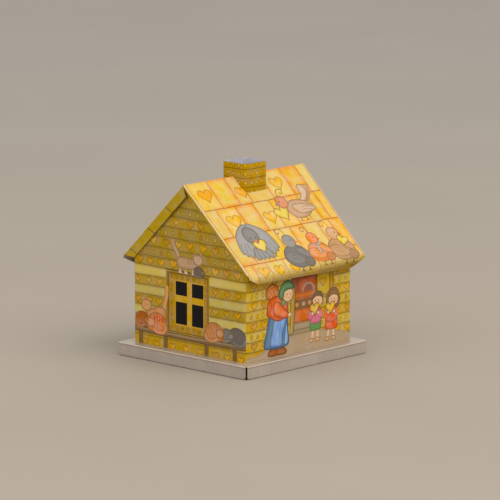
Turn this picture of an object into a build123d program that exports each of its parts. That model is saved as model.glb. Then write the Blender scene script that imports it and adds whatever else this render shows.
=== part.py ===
from build123d import *
import os
from math import cos, radians, sin, tan

# A house-shaped money box folded from thin tinplate, in millimetres.
# The origin is the centre of the footprint on the resting plane and +Z is up. The ridge runs along X,
# the door wall faces -Y and the window gable faces -X. Coins drop down the open chimney.

# Driving dimensions
SHEET = 0.3                  # tinplate thickness
TRAY_SIDE = 111.2            # square base tray, over its flanges
TRAY_HEIGHT = 8.4
WALL_SIDE = 97.3             # square house body, over the walls
WALL_CORNER_R = 3.2
RIDGE_Z = 114.7              # where the two roof planes would meet
PITCH = 43.6                 # degrees
ROOF_LENGTH = 111.4          # along the ridge, over the verges
ROOF_X = 1.55                # the roof sits slightly off the middle of the walls
EAVE_REACH = 54.6            # from the ridge line out to the rounded eave
CHIMNEY_SIDE = 20.9
CHIMNEY_CORNER_R = 3.8
CHIMNEY_TOP_Z = 123.0
CHIMNEY_X = 2.0              # the chimney stands close to the middle of the ridge

# Base tray
FOLD_R = 0.8                 # outer radius of an ordinary fold
HEM_HEIGHT = 2.4             # flange edge folded flat against its inside
HEM_GAP = 0.12
HEM_EDGE_R = 0.2
CORNER_GAP = 1.0             # open slit where two flanges meet
CORNER_CLIP = (1.3, 2.2)     # lower flange corners cut off: along the flange, upward

# Tabs, lugs and seams
TAB_POSITIONS = (-26.0, 26.0)
TAB_WIDTH = 8.0
TAB_REACH = 4.2              # bent leaf under the tray
SLOT_PLAY = 0.2
LIP_REACH = 4.2              # wall lips and lugs under the roof sheet
LIP_ROOT = 0.25              # overlap of a lip with the top of its wall
GABLE_LUGS = ((16.0, 25.0), (40.0, 49.0))    # stretches down each slope that carry a lug
SEAM_WIDTH = 4.5
SEAM_LAYERS = 3
SEAM_X = 38.0                # lock seam in the rear wall
SEAM_END_GAP = 2.0
SEAM_GROOVE = (0.3, 0.15)    # joint line on the outside: width, depth

# Roof edges
EAVE_R = 5.0
EAVE_TURN = 70.0             # degrees that the eave curls on from the slope
EAVE_FLANGE = 6.4
EAVE_INSET = 0.9             # the curled eave stops short of the corners of the verge folds
EAVE_MITRE = 12.0            # length along X cut from the ends of the eave flange
FRONT_FLANGE_RISE = 2.4      # the front eave flange gets this much shallower from +X to -X
REAR_VERGE = (6.4, 28.0)     # flange width, degrees that it leans back under the slope
FRONT_VERGE = (4.2, 40.0)
VERGE_STRIP = 2.0            # flat strip of slope sheet that is modelled with each verge
VERGE_TAPER = 1.5            # degrees, the roof is a little shorter at the eaves than at the ridge
VERGE_END_CUT = 4.0

# Coin way through the roof, and the chimney's tabs
COIN_WAY_SIDE = 19.3
COIN_WAY_CORNER_R = 1.6
CHIMNEY_TAB_WIDTH = 7.0
CHIMNEY_TAB_REACH = 4.0
CHIMNEY_LUG = (2.5, 7.5)     # stretch down the slope of the lugs on the chimney's X faces
CHIMNEY_SEAM_WIDTH = 4.0
CHIMNEY_SEAM_X = 4.5         # from the chimney's own middle, on its rear face

# Emptying hole and its swing cover, under the tray
HOLE_R = 16.0
COVER_R = 19.0
COVER_SHEET = 0.4
COVER_GAP = 0.05
COVER_BOSS_R = 6.5
COVER_DISH = (13.6, 12.4, 0.6)   # pressed panel: outer radius, floor radius, depth
PIVOT = (0.0, 14.0)
PIVOT_REACH = 25.0           # pivot to cover centre
SWING = 92.0                 # degrees from closed to open
EAR_WIDTH = 11.0
EAR_DROP = 4.2
RIVET_SHANK_R = 2.0
RIVET_BORE_R = 1.2
RIVET_PLAY = 0.05
RIVET_HEAD = (4.2, 1.0)      # radius, height
RIVET_RIM = (3.2, 0.5)
PIP_R = 0.8
PIP_HEIGHT = 1.1
PIP_ALONG = 10.0             # distance from the pivot along the cover's middle line
PIP_GAP = 0.12

# Worked out from the dimensions above
RISE = tan(radians(PITCH))
COS_P = cos(radians(PITCH))
SIN_P = sin(radians(PITCH))
TRAY_TOP_INSIDE = TRAY_HEIGHT - SHEET
WALL_HALF = WALL_SIDE / 2
WALL_MID = WALL_HALF - SHEET / 2
CHIMNEY_HALF = CHIMNEY_SIDE / 2
CHIMNEY_MID = CHIMNEY_HALF - SHEET / 2
COVER_TOP_Z = TRAY_TOP_INSIDE - COVER_GAP
COVER_BOTTOM_Z = COVER_TOP_Z - COVER_SHEET
CLOSED_DIR = Vector(-sin(radians(SWING / 2)), -cos(radians(SWING / 2)))
COVER_CENTRE = (PIVOT[0] + PIVOT_REACH * CLOSED_DIR.X, PIVOT[1] + PIVOT_REACH * CLOSED_DIR.Y)
FAR = 200.0                  # longer than anything on the object, for cutting

# Frames of the +Y slope, with the origin on the ridge. SLOPE looks at the sheet from outside,
# with y down the slope; SLOPE_SIDE looks along X, with x down the slope and y out of the sheet.
RIDGE_POINT = (0, 0, RIDGE_Z)
SLOPE = Plane(origin=RIDGE_POINT, x_dir=(1, 0, 0), z_dir=(0, SIN_P, COS_P))
SLOPE_SIDE = Plane(origin=RIDGE_POINT, x_dir=(0, COS_P, -SIN_P), z_dir=(1, 0, 0))
SLOPE_END = Plane(origin=RIDGE_POINT, x_dir=(1, 0, 0), z_dir=(0, -COS_P, SIN_P))
CROSS = Plane(origin=(0, 0, 0), x_dir=(0, 1, 0), z_dir=(1, 0, 0))


def span_box(x_range, y_range, z_range):
    """A box from its three ranges."""
    size = [high - low for low, high in (x_range, y_range, z_range)]
    middle = [(high + low) / 2 for low, high in (x_range, y_range, z_range)]
    return Pos(*middle) * Box(*size)


def folded_sheet(points, radii, side=Side.RIGHT, thickness=SHEET):
    """Section of a folded sheet whose outer surface runs through the points."""
    surface = FilletPolyline(*points, radius=radii)
    return make_face(Wire(surface.edges()).offset_2d(thickness, Kind.ARC, side, closed=True))


def four_ways(shape):
    """The shape repeated on the four sides of the square plan."""
    return [Rot(0, 0, turn) * shape for turn in (0, 90, 180, 270)]


def both_slopes(shape):
    """A feature of the +Y slope, and its mirror image on the -Y slope."""
    return [shape, mirror(shape, about=Plane.XZ)]


def both_ends(shape):
    """A feature at +X, and its mirror image at -X."""
    return [shape, mirror(shape, about=Plane.YZ)]


def gable_prism(ridge_z, half_width, foot_z, half_length):
    """Solid with the roof's pitch, as wide and as long as asked."""
    eave_z = ridge_z - RISE * half_width
    outline = Polyline(
        (-half_width, foot_z), (-half_width, eave_z), (0, ridge_z),
        (half_width, eave_z), (half_width, foot_z), close=True)
    return extrude(CROSS * make_face(outline), half_length, both=True)


def inside_slope(x_range, down_range, layer=1):
    """Sheet leaf that lies flat under the +Y slope, one or more sheets below its outer surface."""
    return SLOPE * span_box(x_range, down_range, (-(layer + 1) * SHEET, -layer * SHEET))


def through_slope(x_range, down_range):
    """Short web that passes up through the +Y slope's sheet."""
    return SLOPE * span_box(x_range, down_range, (-2 * SHEET, 2 * SHEET))


def make_base_tray():
    """Upside-down tray: flat top, four hemmed flanges, open corners, tab slots, emptying hole."""
    half = TRAY_SIDE / 2
    flat = half - FOLD_R
    hem_depth = 2 * SHEET + HEM_GAP
    fold = folded_sheet([(flat - 1.0, TRAY_HEIGHT), (half, TRAY_HEIGHT), (half, FOLD_R)], [FOLD_R])
    foot = Pos(half - hem_depth / 2, HEM_HEIGHT / 2) * Rectangle(hem_depth, HEM_HEIGHT)
    foot = fillet(foot.vertices().group_by(Axis.Y)[0], HEM_EDGE_R)
    crease = Pos(half - hem_depth / 2, SHEET + HEM_HEIGHT / 2) * Rectangle(HEM_GAP, HEM_HEIGHT)
    length = half - CORNER_GAP
    flange = extrude(Plane.XZ * (fold + foot - crease), length, both=True)
    clip_along, clip_up = CORNER_CLIP
    clip = Polyline((length - clip_along, 0), (length, clip_up), (length, 0), close=True)
    clip = extrude(Plane.YZ.offset(half - 2 * hem_depth) * make_face(clip), 4 * hem_depth)
    flange = flange - clip - mirror(clip, about=Plane.XZ)

    tray = span_box((-flat, flat), (-flat, flat), (TRAY_TOP_INSIDE, TRAY_HEIGHT))
    notch = span_box((length, half), (length, half), (0, TRAY_HEIGHT))
    tray = tray + four_ways(flange) - four_ways(notch)
    for along in TAB_POSITIONS:
        slot = Pos(WALL_MID, along, TRAY_HEIGHT) * Box(SHEET + SLOT_PLAY, TAB_WIDTH + 2 * SLOT_PLAY, 2.0)
        tray = tray - four_ways(slot)
    tray -= Pos(*COVER_CENTRE, TRAY_HEIGHT) * Cylinder(HOLE_R, 2.0)
    tray -= Pos(*PIVOT, TRAY_HEIGHT) * Cylinder(RIVET_SHANK_R, 2.0)
    pip = make_stop_pip()
    return tray + pip + mirror(pip, about=Plane.YZ)


def make_stop_pip():
    """Pip pressed down from the tray, where the closed cover's edge meets it."""
    flare = (COVER_R - COVER_BOSS_R) / PIVOT_REACH
    edge_tan = flare / (1 - flare ** 2) ** 0.5
    edge_cos = (1 - flare ** 2) ** 0.5
    across = COVER_BOSS_R / edge_cos + PIP_ALONG * edge_tan + (PIP_R + PIP_GAP) / edge_cos
    x = PIVOT[0] + PIP_ALONG * CLOSED_DIR.X + across * CLOSED_DIR.Y
    y = PIVOT[1] + PIP_ALONG * CLOSED_DIR.Y - across * CLOSED_DIR.X
    return Pos(x, y, TRAY_TOP_INSIDE - PIP_HEIGHT / 2) * Cylinder(PIP_R, PIP_HEIGHT)


def make_wall_wrap():
    """One sheet wrapped round the four walls, with both gables, lips, lugs, tabs and a lock seam."""
    height = RIDGE_Z - TRAY_HEIGHT
    inner_side = WALL_SIDE - 2 * SHEET
    ring = RectangleRounded(WALL_SIDE, WALL_SIDE, WALL_CORNER_R)
    ring -= RectangleRounded(inner_side, inner_side, WALL_CORNER_R - SHEET)
    wall = Pos(0, 0, TRAY_HEIGHT) * extrude(ring, height)
    under_roof = gable_prism(RIDGE_Z - SHEET / COS_P, TRAY_SIDE, -FAR, TRAY_SIDE)
    wall = wall & under_roof
    wall -= Pos(0, 0, RIDGE_Z) * Box(FAR, 4 * FOLD_R, 4 * FOLD_R)

    wall_down = WALL_HALF / COS_P
    straight = WALL_HALF - 2 * WALL_CORNER_R
    lip = inside_slope((-straight, straight), (wall_down - LIP_REACH, wall_down + LIP_ROOT))
    wall += both_slopes(lip)
    for down_range in GABLE_LUGS:
        lug = inside_slope((WALL_HALF - SHEET - LIP_REACH, WALL_HALF - SHEET / 2), down_range)
        for end in both_ends(lug):
            wall += both_slopes(end)

    below = (TRAY_TOP_INSIDE - SHEET, TRAY_TOP_INSIDE)
    for along in TAB_POSITIONS:
        width = (along - TAB_WIDTH / 2, along + TAB_WIDTH / 2)
        web = span_box((WALL_HALF - SHEET, WALL_HALF), width, (below[0], TRAY_HEIGHT))
        leaf = span_box((WALL_HALF - SHEET - TAB_REACH, WALL_HALF - SHEET), width, below)
        wall += four_ways(web + leaf)

    seam_top = RIDGE_Z - RISE * WALL_HALF - LIP_REACH
    pad_y = (WALL_HALF - (SEAM_LAYERS + 1) * SHEET, WALL_HALF - SHEET)
    pad_x = (SEAM_X - SEAM_WIDTH / 2, SEAM_X + SEAM_WIDTH / 2)
    wall += span_box(pad_x, pad_y, (TRAY_HEIGHT + SEAM_END_GAP, seam_top))
    groove_width, groove_depth = SEAM_GROOVE
    wall -= span_box(
        (pad_x[1] - groove_width, pad_x[1]), (WALL_HALF - groove_depth, WALL_HALF),
        (TRAY_HEIGHT, seam_top + LIP_REACH))
    return wall


def make_roof():
    """One sheet folded at the ridge, with curled eaves, folded verges and the coin way."""
    turn = radians(EAVE_TURN)
    pitch = radians(PITCH)
    # the curl bulges least far out where it runs straight down, so its sharp corner lies further out
    corner_out = EAVE_R * (sin(pitch) + tan(turn / 2) * cos(pitch) - 1)
    corner_y = EAVE_REACH + corner_out
    corner_z = RIDGE_Z - RISE * corner_y
    edge_y = corner_y + EAVE_FLANGE * cos(pitch + turn)
    edge_z = corner_z - EAVE_FLANGE * sin(pitch + turn)
    outline = [
        (-edge_y, edge_z), (-corner_y, corner_z), (0, RIDGE_Z), (corner_y, corner_z), (edge_y, edge_z)]
    section = folded_sheet(outline, [EAVE_R, FOLD_R, EAVE_R])
    half = ROOF_LENGTH / 2
    roof = extrude(CROSS * section, half, both=True)

    # slope sheet beyond the verge fold is replaced by the verge itself
    curl_down = corner_y / COS_P - EAVE_R * tan(turn / 2)
    verge_x = half - VERGE_STRIP
    end_cut = tapered(half, SLOPE * span_box((verge_x, FAR), (-FAR / 4, FAR), (-4 * SHEET, 4 * SHEET)))
    end_cut &= SLOPE * span_box((-FAR, FAR), (-FAR / 4, curl_down), (-FAR, FAR))
    for end in both_ends(end_cut):
        for cut in both_slopes(end):
            roof -= cut
    roof += both_ends(make_verge(REAR_VERGE, half, verge_x, curl_down))
    front_verge = mirror(make_verge(FRONT_VERGE, half, verge_x, curl_down), about=Plane.XZ)
    roof += both_ends(front_verge)

    eave_x = half - curl_down * tan(radians(VERGE_TAPER)) - EAVE_INSET
    curl_z = RIDGE_Z - curl_down * SIN_P
    mitre = Polyline(
        (eave_x, curl_z), (eave_x, corner_z), (eave_x - EAVE_MITRE, edge_z),
        (eave_x - EAVE_MITRE, edge_z - SHEET), (FAR, edge_z - SHEET), (FAR, curl_z), close=True)
    mitre = extrude(Plane.XZ * make_face(mitre), FAR, both=True)
    for cut in both_ends(mitre):
        roof -= cut
    front_edge = Polyline(
        (half, edge_z), (-half, edge_z + FRONT_FLANGE_RISE), (-half, edge_z - SHEET),
        (half, edge_z - SHEET), close=True)
    roof -= extrude(Plane.XZ * make_face(front_edge), FAR)
    return Pos(ROOF_X, 0, 0) * roof - make_coin_way()


def tapered(half, shape):
    """The shape turned in the plane of the +Y slope, about the ridge's +X end, by the verge's taper."""
    about_ridge_end = SLOPE.location * Pos(half, 0, 0)
    return about_ridge_end * Rot(0, 0, VERGE_TAPER) * about_ridge_end.inverse() * shape


def make_verge(flange_and_lean, half, verge_x, curl_down):
    """Edge strip of the +Y slope at +X, folded down and back towards the gable."""
    flange, lean = flange_and_lean
    tip = (half - flange * sin(radians(lean)), -flange * cos(radians(lean)))
    strip = folded_sheet([(verge_x, 0), (half, 0), tip], [FOLD_R])
    verge = tapered(half, extrude(SLOPE_END * strip, 2 * curl_down, both=True))
    verge = verge & span_box((-FAR, FAR), (0, FAR), (-FAR, FAR))
    lower_end = Polyline(
        (curl_down, FAR), (curl_down, -3 * SHEET), (curl_down - VERGE_END_CUT, -flange),
        (curl_down - VERGE_END_CUT, -FAR), (FAR, -FAR), (FAR, FAR), close=True)
    return verge - extrude(SLOPE_SIDE * make_face(lower_end), FAR, both=True)


def make_coin_way():
    """Cutter for the square way through the ridge, and the slots that the chimney's tabs pass."""
    reach = CHIMNEY_HALF + SLOT_PLAY / 2
    half_tab = CHIMNEY_TAB_WIDTH / 2 + SLOT_PLAY
    way = extrude(RectangleRounded(COIN_WAY_SIDE, COIN_WAY_SIDE, COIN_WAY_CORNER_R), 2 * FAR)
    way += span_box((-half_tab, half_tab), (-reach, reach), (0, 2 * FAR))
    near, far = [COS_P * down for down in CHIMNEY_LUG]
    for y_range in ((near - SLOT_PLAY, far + SLOT_PLAY), (-far - SLOT_PLAY, -near + SLOT_PLAY)):
        way += span_box((-reach, reach), y_range, (0, 2 * FAR))
    return Pos(CHIMNEY_X, 0, 0) * way


def make_chimney():
    """Open square tube astride the ridge, with tabs and lugs bent outward under the roof."""
    inner_side = CHIMNEY_SIDE - 2 * SHEET
    ring = RectangleRounded(CHIMNEY_SIDE, CHIMNEY_SIDE, CHIMNEY_CORNER_R)
    ring -= RectangleRounded(inner_side, inner_side, CHIMNEY_CORNER_R - SHEET)
    tube = extrude(ring, CHIMNEY_TOP_Z)
    seam_x = (CHIMNEY_SEAM_X - CHIMNEY_SEAM_WIDTH / 2, CHIMNEY_SEAM_X + CHIMNEY_SEAM_WIDTH / 2)
    tube += span_box(seam_x, (CHIMNEY_HALF - SHEET / 2, CHIMNEY_HALF + SHEET), (0, CHIMNEY_TOP_Z))
    tube -= gable_prism(RIDGE_Z, CHIMNEY_SIDE, -FAR, CHIMNEY_SIDE)

    face_down = CHIMNEY_HALF / COS_P
    half_tab = CHIMNEY_TAB_WIDTH / 2
    inner_y = CHIMNEY_HALF - SHEET
    web_bottom = RIDGE_Z - RISE * inner_y - 2 * SHEET / COS_P
    web = span_box((-half_tab, half_tab), (inner_y, CHIMNEY_HALF), (web_bottom, RIDGE_Z - RISE * inner_y))
    leaf = inside_slope((-half_tab, half_tab), (face_down - SHEET, face_down + CHIMNEY_TAB_REACH))
    tube += both_slopes(web + leaf)
    lug = inside_slope((CHIMNEY_HALF - SHEET, CHIMNEY_HALF + CHIMNEY_TAB_REACH), CHIMNEY_LUG)
    lug += through_slope((CHIMNEY_HALF - SHEET, CHIMNEY_HALF), CHIMNEY_LUG)
    for end in both_ends(lug):
        tube += both_slopes(end)
    return Pos(CHIMNEY_X, 0, 0) * tube


def make_trap_cover():
    """Teardrop plate that swings under the emptying hole, with a pressed panel and a finger ear."""
    disc = Pos(*COVER_CENTRE) * Circle(COVER_R)
    boss = Pos(*PIVOT) * Circle(COVER_BOSS_R)
    dish_r, floor_r, depth = COVER_DISH
    outline = make_hull(disc.edges() + boss.edges())
    plate = extrude(outline - Pos(*COVER_CENTRE) * Circle(dish_r), COVER_SHEET)
    plate -= Pos(*PIVOT) * Cylinder(RIVET_SHANK_R + RIVET_PLAY, 4 * COVER_SHEET)
    panel = Polyline(
        (0, -depth), (floor_r, -depth), (dish_r, 0), (dish_r, COVER_SHEET),
        (floor_r, COVER_SHEET - depth), (0, COVER_SHEET - depth), close=True)
    plate += Pos(*COVER_CENTRE) * revolve(Plane.XZ * make_face(panel), Axis.Z)

    # the ear is drawn on the +X side of the pivot, then turned to the closed cover's middle line
    tip = PIVOT_REACH + COVER_R
    ear_section = folded_sheet(
        [(tip - 4.0, COVER_SHEET), (tip + FOLD_R, COVER_SHEET), (tip + FOLD_R, COVER_SHEET - EAR_DROP)],
        [FOLD_R], thickness=COVER_SHEET)
    ear = extrude(Plane.XZ * ear_section, EAR_WIDTH / 2, both=True)
    ear = fillet(ear.edges().filter_by(Axis.X).group_by(Axis.Z)[0], EAR_WIDTH / 4)
    turn = Vector(1, 0).get_signed_angle(CLOSED_DIR, Vector(0, 0, 1))
    plate += Pos(*PIVOT) * Rot(0, 0, turn) * ear
    return Pos(0, 0, COVER_BOTTOM_Z) * plate


def make_trap_rivet():
    """Hollow rivet: head under the cover, shank through cover and tray, rim rolled over inside."""
    head_r, head_height = RIVET_HEAD
    rim_r, rim_height = RIVET_RIM
    head_top = COVER_BOTTOM_Z - COVER_GAP
    head_bottom = head_top - head_height
    rim_top = TRAY_HEIGHT + rim_height
    head = Pos(0, 0, (head_top + head_bottom) / 2) * Cylinder(head_r, head_height)
    head = fillet(head.edges().group_by(Axis.Z)[0], 0.8 * head_height)
    rim = Pos(0, 0, (TRAY_HEIGHT + rim_top) / 2) * Cylinder(rim_r, rim_height)
    rim = fillet(rim.edges().group_by(Axis.Z)[-1], 0.8 * rim_height)
    shank = Pos(0, 0, (head_bottom + rim_top) / 2) * Cylinder(RIVET_SHANK_R, rim_top - head_bottom)
    bore = Pos(0, 0, TRAY_HEIGHT) * Cylinder(RIVET_BORE_R, 2 * TRAY_HEIGHT)
    return Pos(*PIVOT) * (head + rim + shank - bore)


PARTS = {
    "base_tray": make_base_tray,
    "wall_wrap": make_wall_wrap,
    "roof": make_roof,
    "chimney": make_chimney,
    "trap_cover": make_trap_cover,
    "trap_rivet": make_trap_rivet,
}

os.makedirs("parts", exist_ok=True)
for name, make in PARTS.items():
    export_step(make(), f"parts/{name}.step")
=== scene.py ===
import math
import random

import bpy
import numpy as np
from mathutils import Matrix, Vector
from mathutils.geometry import delaunay_2d_cdt


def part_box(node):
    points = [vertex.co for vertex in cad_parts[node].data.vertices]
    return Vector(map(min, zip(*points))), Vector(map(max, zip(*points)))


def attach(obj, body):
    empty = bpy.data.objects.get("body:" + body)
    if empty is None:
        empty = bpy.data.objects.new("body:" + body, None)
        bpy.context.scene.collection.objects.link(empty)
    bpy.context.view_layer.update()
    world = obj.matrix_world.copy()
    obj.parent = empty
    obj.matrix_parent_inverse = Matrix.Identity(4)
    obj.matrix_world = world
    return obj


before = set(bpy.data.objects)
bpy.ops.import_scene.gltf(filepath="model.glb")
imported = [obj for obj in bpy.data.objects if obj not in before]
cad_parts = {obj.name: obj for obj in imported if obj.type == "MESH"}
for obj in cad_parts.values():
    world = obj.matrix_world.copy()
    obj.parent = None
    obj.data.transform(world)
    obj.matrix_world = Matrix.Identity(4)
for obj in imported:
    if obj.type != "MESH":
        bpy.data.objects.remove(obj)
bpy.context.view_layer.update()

# A house-shaped money box of printed tinplate. The CAD sheets stay as they are and get tin and
# lacquer materials; each printed picture is one thin skin of mesh that lies on its sheet and
# follows its folds. Artwork is drawn in millimetres, flat, as seen from outside: u to the right, v up.

# ---- sizes, in millimetres
MM = 0.001
SHEET = 0.3
PITCH = math.radians(43.6)       # the roof's pitch, folds and radii repeat the CAD model's
WALL_CORNER_R = 3.2
RIDGE_R = 0.8
EAVE_R = 5.0
EAVE_TURN = math.radians(70.0)
EAVE_FLANGE = 6.4
EAVE_INSET = 0.9
EAVE_MITRE = 12.0
FRONT_FLANGE_RISE = 2.4          # the front eave flange gets this much shallower from +X to -X
VERGE_R = 0.8
VERGE_TURN = {1: math.radians(118.0), -1: math.radians(130.0)}     # rear slope 1, front slope -1
VERGE_FLANGE = {1: 6.4, -1: 4.2}
VERGE_TAPER = math.tan(math.radians(1.5))
VERGE_END_CUT = 4.0
VERGE_STRIP = 2.0                # beyond this, at the verges, the ridge is a sharp fold
VERGE_TOP_CUT = 1.2              # the print of a verge flange begins this far down, at its fold
GABLE_TOP_GAP = 1.8              # the print of a gable ends this far under the ridge
CHIMNEY_CORNER_R = 3.8
CHIMNEY_HALF = 10.45
COIN_WAY_HALF = CHIMNEY_HALF - 0.2      # the way through the roof, as far as the chimney's wall
CHIMNEY_SEAM = (-6.5, -2.5, SHEET)   # raised lap on the chimney's rear face, as seen from outside
LOCK_SEAM = (-40.25, -39.95, -0.14)  # groove of the lock seam on the rear wall
NO_SEAM = (0.0, 0.0, 0.0)
SEAM_WALL = 0.02
SKIN = 0.03                      # the printed skin's height above its sheet
TRIM = 0.12                      # bare edge left between a skin and the end of its sheet
MERGE = 1e-3                     # points closer than this are one point


def node_box(name):
    """A CAD node's lowest and highest corner, in millimetres."""
    low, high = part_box(name)
    return np.array(low) / MM, np.array(high) / MM


WALL_HALF = node_box("wall_wrap")[1][0]
TRAY_TOP = node_box("base_tray")[1][2]
roof_low, roof_high = node_box("roof")
ROOF_HALF = (roof_high[0] - roof_low[0]) / 2 + VERGE_R * (
    math.tan(VERGE_TURN[1] / 2) - 1 + math.tan(PITCH) * VERGE_TAPER)
ROOF_X = (roof_high[0] + roof_low[0]) / 2
RIDGE_Z = roof_high[2]
EAVE_REACH = roof_high[1]
chimney_low, chimney_high = node_box("chimney")
CHIMNEY_TOP = chimney_high[2]
CHIMNEY_X = (chimney_low[0] + chimney_high[0]) / 2
PRINT_FOOT = TRAY_TOP + TRIM


# ---- colour
WHITE = (255, 255, 255)
BROWN = (106, 74, 24)            # inks, as they look
UMBER = (94, 68, 38)
PLANK_LINE = (110, 84, 22)
PLAIN = (197, 175, 91)
GOLD_ROW = (180, 144, 24)
DOOR_ROW = (191, 153, 37)
CHIMNEY_GOLD = (173, 133, 2)
OLIVE = (163, 134, 44)
STRAW = (173, 142, 42)
GOLD = (196, 146, 14)
HONEY = (194, 160, 52)
FRAME = (172, 133, 38)
CROSS = (196, 152, 24)
PANE = (14, 13, 14)
BENCH = (124, 98, 60)
BENCH_LIGHT = (152, 126, 88)
TILE_LINE = (184, 118, 54)
VERGE = (224, 188, 42)
GREY = (150, 147, 143)
ROSE = (216, 168, 128)
ORANGE = (248, 146, 76)
TAN = (206, 158, 110)
RUST = (178, 104, 54)
LEMON = (240, 212, 96)
SKIN_TONE = (214, 176, 138)
SCARLET = (208, 104, 54)
PATH = (168, 144, 114)


def linear(colour, light):
    """Scene-linear colour of an ink, given as it looks (0 to 255) under that much light."""
    levels = np.asarray(colour, float) / 255
    curve = np.where(levels <= 0.04045, levels / 12.92, ((levels + 0.055) / 1.055) ** 2.4)
    return np.clip(curve / light, 0, 0.95)


def rgba(colour, light=1.0):
    return (*linear(colour, light), 1.0)


def mix(first, second, share):
    """A colour between two others."""
    return tuple(a + (b - a) * share for a, b in zip(first, second))


def dark(colour, share):
    return mix(colour, UMBER, share)


def shifted(colour, rng, amount):
    """The colour a little lighter or darker, and a little warmer or cooler."""
    level = rng.uniform(-amount, amount)
    warm = rng.uniform(-amount, amount) * 0.5
    return tuple(max(0, min(255, c + d)) for c, d in zip(colour, (level + warm, level, level - warm)))


# ---- outlines
def smooth(points, closed=True, steps=4):
    """A Catmull-Rom curve through the points."""
    p = np.asarray(points, float)
    count = len(p)
    at = (lambda i: p[i % count]) if closed else (lambda i: p[max(0, min(count - 1, i))])
    curve = []
    for i in range(count if closed else count - 1):
        a, b, c, d = at(i - 1), at(i), at(i + 1), at(i + 2)
        for step in range(steps):
            t = step / steps
            curve.append(0.5 * (2 * b + (c - a) * t + (2 * a - 5 * b + 4 * c - d) * t ** 2
                                + (3 * b - a - 3 * c + d) * t ** 3))
    return np.array(curve if closed else curve + [p[-1]])


def turned(points, at=(0, 0), size=1.0, turn=0.0, flip=1):
    """Points moved to a place, scaled, turned and perhaps mirrored left to right."""
    p = np.asarray(points, float) * (size * flip, size)
    c, s = math.cos(turn), math.sin(turn)
    return p @ np.array([[c, s], [-s, c]]) + np.asarray(at, float)


def circle_angles(count):
    return np.linspace(0, 2 * math.pi, count, endpoint=False)


def ellipse(at, across, up, count=18):
    angles = circle_angles(count)
    return turned(np.stack([across * np.cos(angles), up * np.sin(angles)], 1), at)


def heart(at, width, turn=0.0, count=22):
    t = circle_angles(count)
    x = 16 * np.sin(t) ** 3
    y = 13 * np.cos(t) - 5 * np.cos(2 * t) - 2 * np.cos(3 * t) - np.cos(4 * t)
    return turned(np.stack([x, y + 2], 1), at, width / 32, turn)[::-1]


def drop(at, height, turn):
    t = circle_angles(10)
    x = np.sin(t) * np.sin(t / 2) ** 1.2 * 0.48
    return turned(np.stack([x, np.cos(t) * 0.5], 1), at, height, turn)[::-1]


def rectangle(left, right, low, high):
    return np.array([(left, low), (right, low), (right, high), (left, high)], float)


def unit(vectors):
    return vectors / np.maximum(np.linalg.norm(vectors, axis=1, keepdims=True), 1e-9)


def grown(polygon, amount):
    """The polygon moved outward along its own normals, or inward when amount is negative."""
    p = np.asarray(polygon, float)
    tangent = unit(unit(p - np.roll(p, 1, 0)) + unit(np.roll(p, -1, 0) - p))
    normal = np.stack([tangent[:, 1], -tangent[:, 0]], 1)
    area = np.sum(p[:, 0] * np.roll(p[:, 1], -1) - np.roll(p[:, 0], -1) * p[:, 1])
    return p + normal * (amount if area > 0 else -amount)


def ribbon(points, width, taper):
    """Closed outline of a pen stroke along an open line, thinner towards its ends."""
    p = np.asarray(points, float)
    tangent = unit(np.gradient(p, axis=0))
    normal = np.stack([-tangent[:, 1], tangent[:, 0]], 1)
    along = np.linspace(0, math.pi, len(p))
    half = (width / 2) * (taper + (1 - taper) * np.sin(along) ** 0.5)[:, None]
    return np.vstack([p - normal * half, (p + normal * half)[::-1]])


def inside(points, polygon):
    """Whether each point is inside the closed polygon, by its winding number."""
    x, y = points[:, 0, None], points[:, 1, None]
    ax, ay = polygon[:, 0], polygon[:, 1]
    bx, by = np.roll(ax, -1), np.roll(ay, -1)
    side = (bx - ax) * (y - ay) - (x - ax) * (by - ay)
    rising = (ay <= y) & (by > y) & (side > 0)
    falling = (ay > y) & (by <= y) & (side < 0)
    return rising.sum(1) != falling.sum(1)


def edge_distance(points, polygon):
    """Each point's distance from the polygon's outline."""
    run = (np.roll(polygon, -1, 0) - polygon)[None]
    rel = points[:, None] - polygon[None]
    t = np.clip((rel * run).sum(2) / np.maximum((run ** 2).sum(2), 1e-9), 0, 1)
    return np.linalg.norm(rel - run * t[..., None], axis=2).min(1)


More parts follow.
